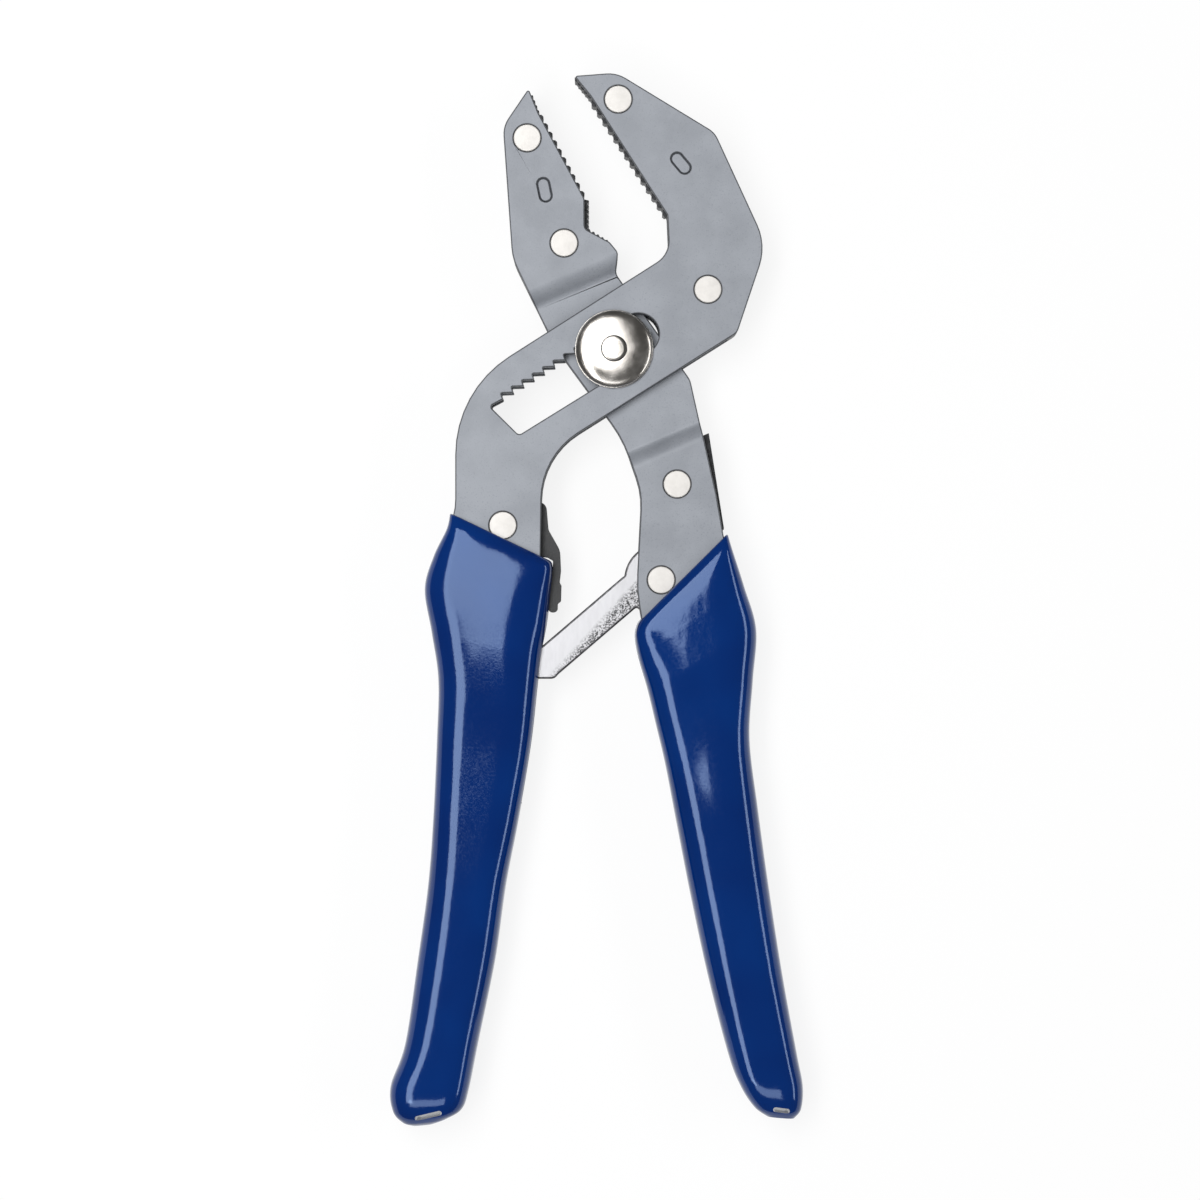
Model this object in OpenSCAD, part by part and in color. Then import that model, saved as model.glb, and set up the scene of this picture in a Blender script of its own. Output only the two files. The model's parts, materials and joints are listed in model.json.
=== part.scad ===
// Self-adjusting laminated slip-joint pliers, lying flat.
// X and Y lie in the plane of the plates with the pivot axis at the origin, +Y towards the jaws.
// Z is up, and z = 0 is the plane that the pliers rest on. Lengths are millimetres.

/* [Steel plates] */
// Thickness of every steel plate
plate_t = 2.2; // [1.8:0.1:2.6]
// Thickness of the cores and spacers that hold each pair of plates apart
core_t = 5; // [4.8:0.1:6]
// Running gap between pieces that slide flat on each other
running_gap = 0.3; // [0.15:0.05:0.4]
// Slant of the two joggle lines of the inner lever
joggle_angle = 23; // [20:1:26]
// Depth of the stamped marks on the jaws
dimple_depth = 0.4; // [0.2:0.05:0.8]

/* [Adjusting slot] */
// Slope of the slot across the tool
slot_angle = 31.8; // [31:0.1:33]
// Half the width of the slot below its centre line
slot_half = 4.9; // [4.7:0.05:5.2]
// Radius of the slot's round end
slot_end_r = 4.4; // [4.2:0.05:4.7]
// Height of the rack's tooth tips above the centre line
rack_tip = 3.4; // [3.35:0.05:3.6]
// Height of the rack's tooth roots above the centre line
rack_root = 4.75; // [4.6:0.05:4.85]
// Distance from tooth to tooth along the rack
rack_pitch = 2.63; // [2.5:0.01:2.7]

/* [Pivot] */
// Diameter of the pivot pin's shank
pin_d = 4.4; // [4:0.1:4.6]
// Diameter of the pin's peened ends
peen_d = 5.6; // [5.2:0.1:6.6]
// Height of a peened end above its cap
peen_h = 0.5; // [0.3:0.1:0.8]
// Diameter of the domed caps
cap_d = 16.8; // [15:0.1:19]
// Height of a domed cap
cap_h = 2; // [1.6:0.1:2.6]
// Height of a cap's straight rim
rim_h = 0.9; // [0.5:0.1:1.2]
// Gap between a cap and the plate under it
cap_gap = 0.1; // [0.05:0.05:0.2]
// Outer diameter of the pivot bush
bush_d = 8.4; // [7:0.1:9.4]
// Radial clearance of pins and bushes in their bores
fit = 0.05; // [0.02:0.01:0.08]
// Outer diameter of the shift pawl's ring
pawl_ring_d = 6.4; // [5.8:0.1:6.4]
// Angle through which the pawl drops out of the rack
pawl_swing = 20; // [18:1:22]

/* [Rivets] */
// Diameter of the rivets' flush heads
rivet_head_d = 5.8; // [5.4:0.1:6.6]
// Diameter of the rivets' shanks
rivet_d = 4.4; // [3.6:0.1:4.8]
// Depth of the countersinks under the rivet heads
sink_h = 0.8; // [0.5:0.1:1.2]
// Height of a rivet head above its plate
rivet_proud = 0.15; // [0.05:0.05:0.25]

/* [Jaw teeth] */
// Distance from tooth to tooth on the long gripping faces
tooth_pitch = 2.17; // [1.8:0.01:2.6]
// Height of the teeth on the long gripping faces
tooth_h = 0.7; // [0.4:0.05:0.9]
// Distance from tooth to tooth at the tips and on the pipe corner
fine_pitch = 1.1; // [0.8:0.05:1.4]
// Height of the fine teeth
fine_h = 0.35; // [0.2:0.05:0.5]

/* [Grips] */
// Thickness of the grips across the plates
grip_t = 14.6; // [13:0.1:18]
// Thickness of a grip's dipped upper edge
grip_lip_t = 11.4; // [10.8:0.1:12.4]
// Length of the slot in the left grip's end
left_hang_slot = 5.9; // [4:0.1:6.5]
// Length of the slot in the right grip's end
right_hang_slot = 3.6; // [3:0.1:4.2]
// Width of both slots
hang_slot_w = 1.1; // [0.8:0.1:1.5]

/* [Strut] */
// Width of the strut
strut_w = 6.9; // [6:0.1:7.6]
// Radius of the strut's hub
strut_hub_r = 7.9; // [7:0.1:8.2]
// Outer diameter of the bush in the strut's hub
strut_bush_d = 7; // [6.4:0.1:8]
// Diameter of the cross pin at the strut's lower end
cross_pin_d = 3; // [2.4:0.1:3.4]
// Play of the cross pin across its guide slots
guide_play = 1.5; // [1.3:0.1:1.8]

/* [Return spring] */
// Outer diameter of the return spring
spring_d = 4.4; // [4:0.1:4.4]
// Diameter of the spring's wire
wire_d = 0.7; // [0.5:0.05:0.8]
// Number of turns
spring_turns = 13; // [9:1:16]
// Length of the spring as fitted
spring_len = 34; // [33:0.5:36]

/* [Latch] */
// Width of the latch's arm
latch_arm_w = 1.7; // [1.5:0.1:2.2]
// Radius of the latch's hub
latch_hub_r = 5.5; // [4.5:0.1:6.5]

/* [Hidden] */
$fn = 48;

// Heights above and below the middle plane of the tool
half_core = core_t / 2;
half_body = half_core + plate_t;
cap_seat = half_body + cap_gap;
mid_z = max(grip_t / 2, cap_seat + cap_h + peen_h);
half_mid = half_core - running_gap;
inner_plate_t = min(plate_t, half_mid);

// Where the joints and rivets lie
hook_rivets = [[0.9, 53.5], [20.1, 12.8]];
straight_rivets = [[-18.6, 45.2], [-10.7, 22.7]];
latch_axis = [-23.8, -37.7];
handle_rivet = [13.5, -28.9];
strut_axis = [10.1, -49.4];
cross_axis = [-21.2, -67.2];
left_core_rivets = [[-33, -122], [-38.5, -149]];
right_core_rivets = [[20, -82], [31, -143]];

// The channel that the spring works in
channel_angle = 263;
channel_dir = [cos(channel_angle), sin(channel_angle)];
cross_travel = 15.2;
seat_gap = 1.3;
seat_len = 4;
seat_start = strut_w / 2 + seat_gap;
spring_start = seat_start + seat_len;
spring_end = spring_start + spring_len;
stem_d = spring_d - 2 * wire_d - 0.6;

// Joggle lines, measured across the tool at right angles to them
jaw_ramp = [15, 17.3];
handle_ramp = [-24.1, -21.7];

// Rounded outlines: each corner is [x, y, radius]
function unit(v) = v / norm(v);
function wrap(a) = (a + 900) % 360 - 180;
function corner_arc(before, here, after) =
    let(
        p = [here.x, here.y],
        a = unit([before.x, before.y] - p),
        b = unit([after.x, after.y] - p),
        half = acos(a * b) / 2,
        c = p + unit(a + b) * here[2] / sin(half),
        near = p + a * here[2] / tan(half) - c,
        far = p + b * here[2] / tan(half) - c,
        start = atan2(near.y, near.x),
        turn = wrap(atan2(far.y, far.x) - start),
        steps = max(2, ceil(abs(turn) / 8))
    )
    here[2] <= 0 ? [p] : [for (i = [0:steps]) c + here[2] * [cos(start + turn * i / steps),
                                                            sin(start + turn * i / steps)]];
function rounded(list) =
    let(n = len(list))
    [for (i = [0:n - 1]) each corner_arc(list[(i + n - 1) % n], list[i], list[(i + 1) % n])];

// How far the roots of the teeth lie behind their row's line
root_depth = 0.12;

// A row of ratchet teeth from one point to another, standing to the right of the way there
function tooth_row(from, to, pitch, height) =
    let(
        way = unit(to - from),
        out = [way.y, -way.x],
        count = max(1, round(norm(to - from) / pitch)),
        step = norm(to - from) / count
    )
    [for (i = [0:count - 1]) each [
        from + way * step * (i + 0.1) - out * root_depth,
        from + way * step * (i + 0.65) + out * height,
        from + way * step * (i + 0.9) + out * height * 0.75
    ]];

// Gripping edges of the two jaws, from the tip down
hook_tip = [-8.6, 58.5];
hook_step = [-5.0, 54.1];
hook_throat = [11.4, 28.7];
straight_tip = [-18.3, 55.8];
straight_step = [-16.1, 50.4];
straight_end = [-6.3, 32.2];
pipe_corner = [-6.3, 25.8];
pipe_end = [-0.9, 22.9];

// Outline of the outer lever's plates: the hook jaw, the slotted arm and the left handle
slotted_points = [
    [hook_tip.x, hook_tip.y, 0.4], [0.6, 59.2, 7], [21.6, 46.4, 5], [32.7, 22.3, 12], [26.4, 3.5, 2.5],
    [-15.4, -22.9, 17], [-15.8, -53.7, 20], [-18.2, -79.4, 80], [-25.3, -117.9, 80], [-33.2, -158.6, 4],
    [-44.6, -158.6, 4], [-42.6, -146, 60], [-38.0, -112, 80], [-36.4, -86, 60], [-36.2, -70, 25],
    [-38.9, -51.5, 10],
    [-34, -34, 14], [-34, -8.9, 25], [11.8, 20.3, 5.4], [hook_throat.x, hook_throat.y, 0.8],
    [hook_step.x, hook_step.y, 0.8]
];

// Outline of the inner lever's plates: the straight jaw, the pivot and the right handle
joggled_points = [
    [straight_tip.x, straight_tip.y, 0.4], [-23.8, 47.7, 6], [-21.8, 19.4, 12],
    [-12.8, 0.8, 40], [1.8, -19.1, 28], [5.9, -30.8, 18], [4.8, -51.5, 30], [6.9, -64, 30],
    [11.6, -83.7, 60], [18.3, -117.9, 60], [28.0, -156.6, 4], [38.6, -156.6, 4], [34.8, -136, 60],
    [27.6, -90, 60], [27.7, -76, 20], [29.0, -62.3, 12], [24.2, -44.1, 14], [21.9, -31, 30],
    [16.4, -6.4, 4], [0.4, 16.4, 2.4], [0.9, 20.7, 1.8], [pipe_end.x, pipe_end.y, 1.2],
    [pipe_corner.x, pipe_corner.y, 1.4], [straight_end.x, straight_end.y, 1.5],
    [straight_step.x, straight_step.y, 1]
];

module at_mid() {
    translate([0, 0, mid_z]) children();
}

module both_sides() {
    children();
    mirror([0, 0, 1]) children();
}

// Flat shapes joined into one layer of the given half-height about the middle plane
module mid_layer(half) {
    for (i = [0:$children - 1])
        translate([0, 0, -half]) linear_extrude(2 * half) children(i);
}

module rivet_at(place) {
    reach = half_body + rivet_proud;
    translate([place.x, place.y, 0]) {
        cylinder(h = 2 * reach, d = rivet_d, center = true);
        both_sides() {
            translate([0, 0, half_body - sink_h])
                cylinder(h = sink_h, d1 = rivet_d, d2 = rivet_head_d);
            translate([0, 0, half_body]) cylinder(h = rivet_proud, d = rivet_head_d);
        }
    }
}

// What a rivet needs out of the plates and cores that it holds
module rivet_hole(place, clear = 0.02) {
    translate([place.x, place.y, 0]) {
        cylinder(h = 2 * half_body + 2, d = rivet_d + 2 * clear, center = true);
        both_sides()
            translate([0, 0, half_body - sink_h])
                cylinder(h = sink_h + 0.001, d1 = rivet_d + 2 * clear, d2 = rivet_head_d + 2 * clear);
    }
}

module obround(length, width) {
    square([length - width, width], center = true);
    for (side = [-1, 1]) translate([side * (length - width) / 2, 0]) circle(d = width);
}

// Stamped mark in a jaw's plate
module dimple(place, angle) {
    translate([place.x, place.y, half_body - dimple_depth])
        rotate([0, 0, angle]) linear_extrude(1) obround(5.1, 2.6);
}

/* Outer lever ---------------------------------------------------------------- */

// Along the slot's centre line from the pivot: the centre of the round end, and the first of the rack's teeth
slot_end = 6.16;
rack_count = 12;
rack_inset = 0.4;
rack_first = slot_end - rack_inset - rack_count * rack_pitch;

// The slot in its own axes: its centre line is the X axis and it ends in a half round
module slot_shape() {
    teeth = [for (i = [0:rack_count]) each [
        [rack_first + i * rack_pitch, rack_tip],
        [rack_first + i * rack_pitch + 0.25, rack_root]
    ]];
    rotate(slot_angle) {
        polygon(concat([[slot_end, rack_root], [slot_end, -slot_half]],
                       [[rack_first - 0.8, -slot_half], [rack_first - 1.3, 0.4 - slot_half],
                        [rack_first - 3.1, rack_tip - 0.4], [rack_first - 2.9, rack_tip + 0.2]], teeth));
        translate([slot_end, 0]) circle(r = slot_end_r);
    }
}

// Guide slot for the strut's cross pin, cut through both slotted plates
module guide_slot() {
    length = cross_travel + cross_pin_d + 2 * guide_play;
    translate([cross_axis.x, cross_axis.y])
        rotate(channel_angle)
            translate([cross_travel / 2, 0])
                obround(length, cross_pin_d + 2 * guide_play);
}

module slotted_plate() {
    difference() {
        translate([0, 0, half_core]) linear_extrude(plate_t) difference() {
            polygon(rounded(slotted_points));
            slot_shape();
            guide_slot();
        }
        for (place = hook_rivets) rivet_hole(place);
        for (place = left_core_rivets) rivet_hole(place);
        rivet_hole(latch_axis);
        dimple([14.3, 39.8], -50);
    }
}

module slotted_plate_front() {
    color("slategray") at_mid() slotted_plate();
}

module slotted_plate_rear() {
    color("slategray") at_mid() mirror([0, 0, 1]) slotted_plate();
}

// Toothed core between the plates of the hook jaw
module hook_jaw_core() {
    big = tooth_row(hook_step, hook_throat, tooth_pitch, tooth_h);
    fine = tooth_row(hook_tip, hook_step, fine_pitch, fine_h);
    color([0.12, 0.12, 0.13]) at_mid() difference() {
        mid_layer(half_core) {
            intersection() {
                polygon(rounded(slotted_points));
                polygon([[-20, 70], [45, 70], [45, 2], [25, 2], [17, 8], [12.8, 19], [12.8, 27],
                         hook_throat, hook_step + [0, 1.5], hook_tip + [-1, 1]]);
            }
            polygon(concat([hook_tip + [1.5, 0]], fine, big, [hook_throat + [3, 1]]));
        }
        for (place = hook_rivets) rivet_hole(place);
    }
}

module hook_jaw_rivets() {
    color("gainsboro") at_mid() for (place = hook_rivets) rivet_at(place);
}

module latch_rivet() {
    color("gainsboro") at_mid() rivet_at(latch_axis);
}

// Spacer between the plates low in the left handle, with the stub that the spring sits on
module left_handle_core() {
    start = cross_axis + channel_dir * spring_end;
    color("dimgray") at_mid() {
        difference() {
            mid_layer(half_core) intersection() {
                polygon(rounded(slotted_points));
                translate([start.x, start.y]) rotate(channel_angle) translate([0, -30]) square([80, 60]);
            }
            for (place = left_core_rivets) rivet_hole(place);
        }
        translate([start.x, start.y, 0])
            rotate([0, -90, channel_angle]) translate([0, 0, -0.5]) cylinder(h = 4.5, d = stem_d);
    }
}

module left_handle_rivets() {
    color("gainsboro") at_mid() for (place = left_core_rivets) rivet_at(place);
}

/* Grips ---------------------------------------------------------------------- */

// Smooth path through a list of values, four of them at a time
function curve(a, b, c, d, t) =
    0.5 * (2 * b + (c - a) * t + (2 * a - 5 * b + 4 * c - d) * t * t + (3 * b - a - 3 * c + d) * t * t * t);
function smooth(list, pieces) =
    let(last = len(list) - 1)
    concat([for (i = [0:last - 1]) for (j = [0:pieces - 1])
        curve(list[max(i - 1, 0)], list[i], list[i + 1], list[min(i + 2, last)], j / pieces)], [list[last]]);

// One ring of a grip. Each station is [left x, left y, right x, right y, half thickness, roundness]:
// a small roundness is a box with soft corners, and 1 is an ellipse.
grip_sides = 24;
function bulge(value, roundness) = sign(value) * pow(abs(value), roundness);
function grip_ring(s) =
    let(
        left = [s[0], s[1], 0],
        right = [s[2], s[3], 0],
        centre = (left + right) / 2,
        side = (right - left) / 2
    )
    [for (k = [0:grip_sides - 1])
        let(a = -360 * k / grip_sides)
        centre + side * bulge(cos(a), s[5]) + [0, 0, s[4] * bulge(sin(a), s[5])]];

// Closed skin over the rings
module loft(rings) {
    n = len(rings);
    m = len(rings[0]);
    faces = [for (i = [0:n - 2]) for (k = [0:m - 1])
        let(next = (k + 1) % m)
        each [
            [i * m + k, i * m + next, (i + 1) * m + next],
            [i * m + k, (i + 1) * m + next, (i + 1) * m + k]
        ]];
    polyhedron(
        points = [for (ring = rings) each ring],
        faces = concat([[for (k = [m - 1:-1:0]) k]], faces, [[for (k = [0:m - 1]) (n - 1) * m + k]]),
        convexity = 6
    );
}

grip_half = grip_t / 2;
lip_half = grip_lip_t / 2;
left_stations = [
    [-35.2, -35.0, -13.4, -45.4, lip_half, 0.3], [-35.9, -38.4, -13.2, -47.4, grip_half - 0.3, 0.34],
    [-38.8, -44.4, -13.6, -52.0, grip_half, 0.46], [-40.7, -51.4, -14.4, -59.0, grip_half, 0.56],
    [-39.2, -60.8, -15.6, -65.5, grip_half, 0.6], [-37.8, -70.8, -16.5, -73.5, grip_half, 0.6],
    [-38.1, -83.7, -17.8, -85.0, grip_half, 0.6], [-38.9, -100.8, -20.5, -101.0, grip_half, 0.63],
    [-40.0, -115.0, -23.2, -115.0, grip_half, 0.67], [-42.2, -131.0, -25.5, -131.0, grip_half, 0.7],
    [-44.9, -149.0, -29.2, -149.0, grip_half, 0.66], [-48.0, -158.0, -31.2, -159.0, grip_half, 0.6],
    [-47.6, -163.4, -32.6, -163.0, grip_half - 0.9, 0.6], [-45.6, -165.9, -35.6, -165.0, grip_half - 2.6, 0.6],
    [-43.6, -166.7, -38.4, -166.2, grip_half - 4.6, 0.6]
];
right_stations = [
    [5.1, -58.6, 24.4, -39.4, lip_half, 0.3], [4.5, -61.4, 25.4, -42.8, grip_half - 0.3, 0.34],
    [5.2, -66.0, 28.0, -50.8, grip_half, 0.46], [7.2, -73.0, 30.6, -60.0, grip_half, 0.56],
    [9.0, -80.5, 29.9, -71.0, grip_half, 0.6], [11.0, -89.0, 29.2, -83.7, grip_half, 0.64],
    [13.4, -101.5, 31.0, -98.7, grip_half, 0.68], [16.6, -117.9, 33.4, -116.0, grip_half, 0.7],
    [20.3, -135.0, 36.2, -134.0, grip_half, 0.68], [24.6, -151.5, 39.3, -151.0, grip_half, 0.62],
    [27.2, -158.2, 40.6, -158.0, grip_half - 0.3, 0.6], [30.0, -162.5, 40.3, -162.9, grip_half - 1.6, 0.6],
    [32.6, -164.5, 38.9, -165.0, grip_half - 3.6, 0.6]
];

module grip_body(stations) {
    loft([for (s = smooth(stations, 3)) grip_ring(s)]);
}

// Slit along the inner edge of the left grip, for the latch and the strut
slit_top = -30;
slit_bottom = -97.4;
slit_depth = 26;

module left_grip() {
    color([0.02, 0.2, 0.42]) at_mid() difference() {
        grip_body(left_stations);
        mid_layer(half_body) polygon(rounded(slotted_points));
        translate([-slit_depth, slit_bottom, -half_core]) cube([slit_depth, slit_top - slit_bottom, core_t]);
        translate([latch_axis.x, latch_axis.y, 0])
            cylinder(h = 2 * (half_body + rivet_proud + 0.05), d = rivet_head_d + 0.1, center = true);
        for (place = left_core_rivets) translate([place.x, place.y, 0])
            cylinder(h = 2 * (half_body + rivet_proud), d = rivet_head_d, center = true);
        translate([-39.7, -163.9, 0]) rotate(14) cube([left_hang_slot, hang_slot_w, 30], center = true);
    }
}

module right_grip() {
    color([0.02, 0.2, 0.42]) at_mid() difference() {
        grip_body(right_stations);
        mid_layer(half_body) polygon(rounded(joggled_points));
        translate([0, -70, -half_core]) cube([13, 22, core_t]);
        translate([strut_axis.x, strut_axis.y, 0])
            cylinder(h = 2 * (half_body + rivet_proud + 0.05), d = rivet_head_d + 0.1, center = true);
        for (place = right_core_rivets) translate([place.x, place.y, 0])
            cylinder(h = 2 * (half_body + rivet_proud), d = rivet_head_d, center = true);
        translate([35.8, -162.8, 0]) rotate(-8) cube([right_hang_slot, hang_slot_w, 30], center = true);
    }
}

/* Return spring and its seat -------------------------------------------------- */

// Wire coiled along +Z from the origin, with a flat ring of wire at each end
module coil(length, diameter, wire, turns) {
    steps = 14;
    sides = 6;
    count = steps * (turns + 2);
    mean = (diameter - wire) / 2;
    close = wire + 0.1;
    rise = (length - wire - 2 * close) / turns;
    rings = [for (i = [0:count])
        let(
            a = 360 * i / steps,
            turn = i / steps,
            open = max(0, min(turns, turn - 1)),
            z = wire / 2 + open * rise + (turn - open) * close,
            tilt = (i > steps && i < count - steps) ? atan2(rise, 2 * PI * mean) : 0
        )
        [for (k = [0:sides - 1])
            let(
                b = 360 * k / sides,
                out = wire / 2 * cos(b),
                up = wire / 2 * sin(b)
            )
            [
                (mean + out) * cos(a) + up * sin(tilt) * sin(a),
                (mean + out) * sin(a) - up * sin(tilt) * cos(a),
                z + up * cos(tilt)
            ]]];
    loft(rings);
}

module along_channel(distance) {
    start = cross_axis + channel_dir * distance;
    translate([start.x, start.y, 0]) rotate([0, 90, channel_angle]) children();
}

module return_spring() {
    color("silver") at_mid() along_channel(spring_start) coil(spring_len, spring_d, wire_d, spring_turns);
}

// Plunger that the strut pushes down the channel
module spring_seat() {
    wide = 7;
    color("silver") at_mid() along_channel(seat_start) {
        translate([-half_mid, -wide / 2, 0]) cube([2 * half_mid, wide, seat_len]);
        translate([0, 0, seat_len - 0.5]) cylinder(h = 7.5, d = stem_d);
    }
}

/* Pivot ----------------------------------------------------------------------- */

module pivot_pin() {
    color("silver") at_mid() {
        reach = mid_z;
        cylinder(h = 2 * reach - 0.6, d = pin_d, center = true);
        both_sides() translate([0, 0, cap_seat + cap_h]) {
            cylinder(h = reach - cap_seat - cap_h - 0.2, d = peen_d);
            translate([0, 0, reach - cap_seat - cap_h - 0.2]) cylinder(h = 0.2, d1 = peen_d, d2 = peen_d - 0.6);
        }
    }
}

// Domed cap: a straight rim, a small step and a shallow dome
module pivot_cap() {
    step = 0.7;
    dome_r = cap_d / 2 - step;
    rise = cap_h - rim_h;
    ball_r = (dome_r * dome_r + rise * rise) / (2 * rise);
    dome = [for (i = [0:10])
        let(r = dome_r + (peen_d / 2 - dome_r) * i / 10)
        [r, cap_h - ball_r + sqrt(ball_r * ball_r - r * r)]];
    translate([0, 0, cap_seat]) difference() {
        rotate_extrude($fn = 64)
            polygon(concat([[0, 0], [cap_d / 2, 0], [cap_d / 2, rim_h - 0.2], [cap_d / 2 - 0.2, rim_h]],
                           dome, [[peen_d / 2, cap_h], [0, cap_h]]));
        translate([0, 0, -1]) cylinder(h = cap_h + 2, d = pin_d + 0.04);
    }
}

module pivot_cap_front() {
    color("lightgray") at_mid() pivot_cap();
}

module pivot_cap_rear() {
    color("lightgray") at_mid() mirror([0, 0, 1]) pivot_cap();
}

// Toothed pawl that turns on the pin and works in the slot of one plate.
// It is drawn dropped clear of the rack; turned up by pawl_swing its teeth mesh.
module shift_pawl() {
    clear = 0.15;
    thick = plate_t - cap_gap;
    foot_r = slot_half - running_gap;
    first = rack_first + (rack_count - 1) * rack_pitch;
    arm_end = first + 2 * rack_pitch;
    teeth = [for (i = [0, 1])
        let(x = first + i * rack_pitch)
        each [
            [x + 0.25 + clear, rack_tip - clear - 0.1], [x + 0.35 + clear, rack_root - 2 * clear - 0.6 * i],
            [x + rack_pitch - clear, rack_tip - clear - 0.1 - 0.3 * i]
        ]];
    color("dimgray") at_mid() translate([0, 0, half_core + cap_gap]) rotate([0, 0, slot_angle - pawl_swing])
        difference() {
            translate([0, 0, thick / 2]) mid_layer(thick / 2) {
                circle(d = pawl_ring_d);
                intersection() {
                    circle(r = foot_r);
                    polygon([[0, 0], [-5, -7.5], [5, -7.5]]);
                }
                polygon(concat([[0, -2.2], [0, 2.6]], teeth, [[arm_end, 2.2], [arm_end, -1.2]]));
            }
            translate([0, 0, -1]) cylinder(h = plate_t + 2, d = pin_d + 2 * fit);
        }
}

module shift_pawl_front() {
    shift_pawl();
}

module shift_pawl_rear() {
    translate([0, 0, 2 * mid_z]) mirror([0, 0, 1]) shift_pawl();
}

module ring(outer, inner, half) {
    difference() {
        cylinder(h = 2 * half, d = outer, center = true);
        cylinder(h = 2 * half + 1, d = inner, center = true);
    }
}

module pivot_bush() {
    color("darkgoldenrod") at_mid() ring(bush_d, pin_d + 2 * fit, half_mid);
}

/* Inner lever ----------------------------------------------------------------- */

// Side profile of the front plate: raised at the jaw and the handle, flat on the middle plane between
module joggle_profile() {
    low = half_mid - inner_plate_t;
    rotate([0, 0, joggle_angle]) translate([-150, 0, 0]) rotate([90, 0, 90]) linear_extrude(300)
        polygon([
            [-250, half_core], [handle_ramp[0], half_core], [handle_ramp[1], low], [jaw_ramp[0], low],
            [jaw_ramp[1], half_core], [250, half_core], [250, half_body], [jaw_ramp[1], half_body],
            [jaw_ramp[0], low + inner_plate_t], [handle_ramp[1], low + inner_plate_t],
            [handle_ramp[0], half_body], [-250, half_body]
        ]);
}

module joggled_plate() {
    difference() {
        intersection() {
            linear_extrude(half_body + 1) polygon(rounded(joggled_points));
            joggle_profile();
        }
        cylinder(h = 20, d = bush_d + 2 * fit, center = true);
        for (place = straight_rivets) rivet_hole(place);
        for (place = right_core_rivets) rivet_hole(place);
        rivet_hole(handle_rivet);
        rivet_hole(strut_axis);
        dimple([-14.9, 34.1], -78);
    }
}

module joggled_plate_front() {
    color("slategray") at_mid() joggled_plate();
}

module joggled_plate_rear() {
    color("slategray") at_mid() mirror([0, 0, 1]) joggled_plate();
}

// The part of the plane beyond a line that runs parallel to the joggles
module beyond(distance, side) {
    rotate(joggle_angle) translate([-150, side > 0 ? distance : distance - 300]) square([300, 300]);
}

// Toothed core between the plates of the straight jaw
module straight_jaw_core() {
    start = jaw_ramp[1] + 0.3;
    face = [0.6, 0];
    fine_tip = tooth_row(straight_step, straight_tip + [0.5, -1.1], fine_pitch, fine_h);
    big = tooth_row(straight_end, straight_step, tooth_pitch, tooth_h);
    corner = tooth_row(pipe_corner + face, straight_end + face, fine_pitch, fine_h);
    floor_row = tooth_row(pipe_end, pipe_corner + face, fine_pitch, fine_h);
    color([0.12, 0.12, 0.13]) at_mid() difference() {
        mid_layer(half_core) {
            intersection() {
                polygon(rounded(joggled_points));
                beyond(start, 1);
            }
            polygon(concat(floor_row, corner, big, fine_tip,
                           [straight_tip + [-1, -1.5], straight_end + [-5, 0], [-4, 20], [-1, 20]]));
        }
        for (place = straight_rivets) rivet_hole(place);
    }
}

module straight_jaw_rivets() {
    color("gainsboro") at_mid() for (place = straight_rivets) rivet_at(place);
}

// Black spacer at the top of the right handle, its edge just proud of the plates
module right_handle_spacer() {
    color([0.12, 0.12, 0.13]) at_mid() difference() {
        mid_layer(half_core) intersection() {
            polygon(rounded([[8, -22, 2], [19.9, -15, 1], [23.7, -38.8, 0.6], [20.8, -39.2, 3], [17.5, -34, 5],
                             [9, -33, 3]]));
            beyond(handle_ramp[0] - 0.3, -1);
        }
        rivet_hole(handle_rivet);
    }
}

// Spacer between the plates low in the right handle
module right_handle_core() {
    color("dimgray") at_mid() difference() {
        mid_layer(half_core) intersection() {
            polygon(rounded(joggled_points));
            translate([-50, -200]) square([150, 200 - 72]);
        }
        for (place = right_core_rivets) rivet_hole(place);
    }
}

module right_handle_rivets() {
    color("gainsboro") at_mid() {
        rivet_at(handle_rivet);
        for (place = right_core_rivets) rivet_at(place);
    }
}

module strut_rivet() {
    color("gainsboro") at_mid() rivet_at(strut_axis);
}

/* Strut ----------------------------------------------------------------------- */

module strut_bush() {
    color("darkgoldenrod") at_mid() translate([strut_axis.x, strut_axis.y, 0])
        ring(strut_bush_d, rivet_d + 2 * fit, half_mid);
}

// Cranked strut: a hub on the right handle, a notch for the latch and a toe in the left handle
module strut() {
    toe = strut_w / 2;
    way = unit([-16.2, -64.1] - [1.86, -48.7]);
    across = [way.y, -way.x] * -strut_w;
    notch = [1.8, -48.8];
    heel = [-16.4, -64.4];
    color("silver") at_mid() difference() {
        mid_layer(half_mid) {
            translate(strut_axis) circle(r = strut_hub_r);
            polygon(rounded([
                [notch.x, notch.y, 0.8], [heel.x, heel.y, 4], [cross_axis.x, cross_axis.y + toe, 0],
                [cross_axis.x, cross_axis.y - toe, 0], [heel.x + 3.6, cross_axis.y - toe, 1.6],
                [heel.x + across.x, heel.y + across.y, 2], [notch.x + across.x, notch.y + across.y, 0],
                [strut_axis.x + 2, strut_axis.y - 3, 0], [strut_axis.x, strut_axis.y + 2, 0]
            ]));
            translate(cross_axis) circle(r = toe);
        }
        translate([strut_axis.x, strut_axis.y, 0])
            cylinder(h = 20, d = strut_bush_d + 2 * fit, center = true);
        translate([cross_axis.x, cross_axis.y, 0]) cylinder(h = 20, d = cross_pin_d + 0.04, center = true);
    }
}

module cross_pin() {
    color("gainsboro") at_mid() translate([cross_axis.x, cross_axis.y, 0])
        cylinder(h = 2 * half_body - 0.4, d = cross_pin_d, center = true);
}

/* Latch ----------------------------------------------------------------------- */

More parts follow.
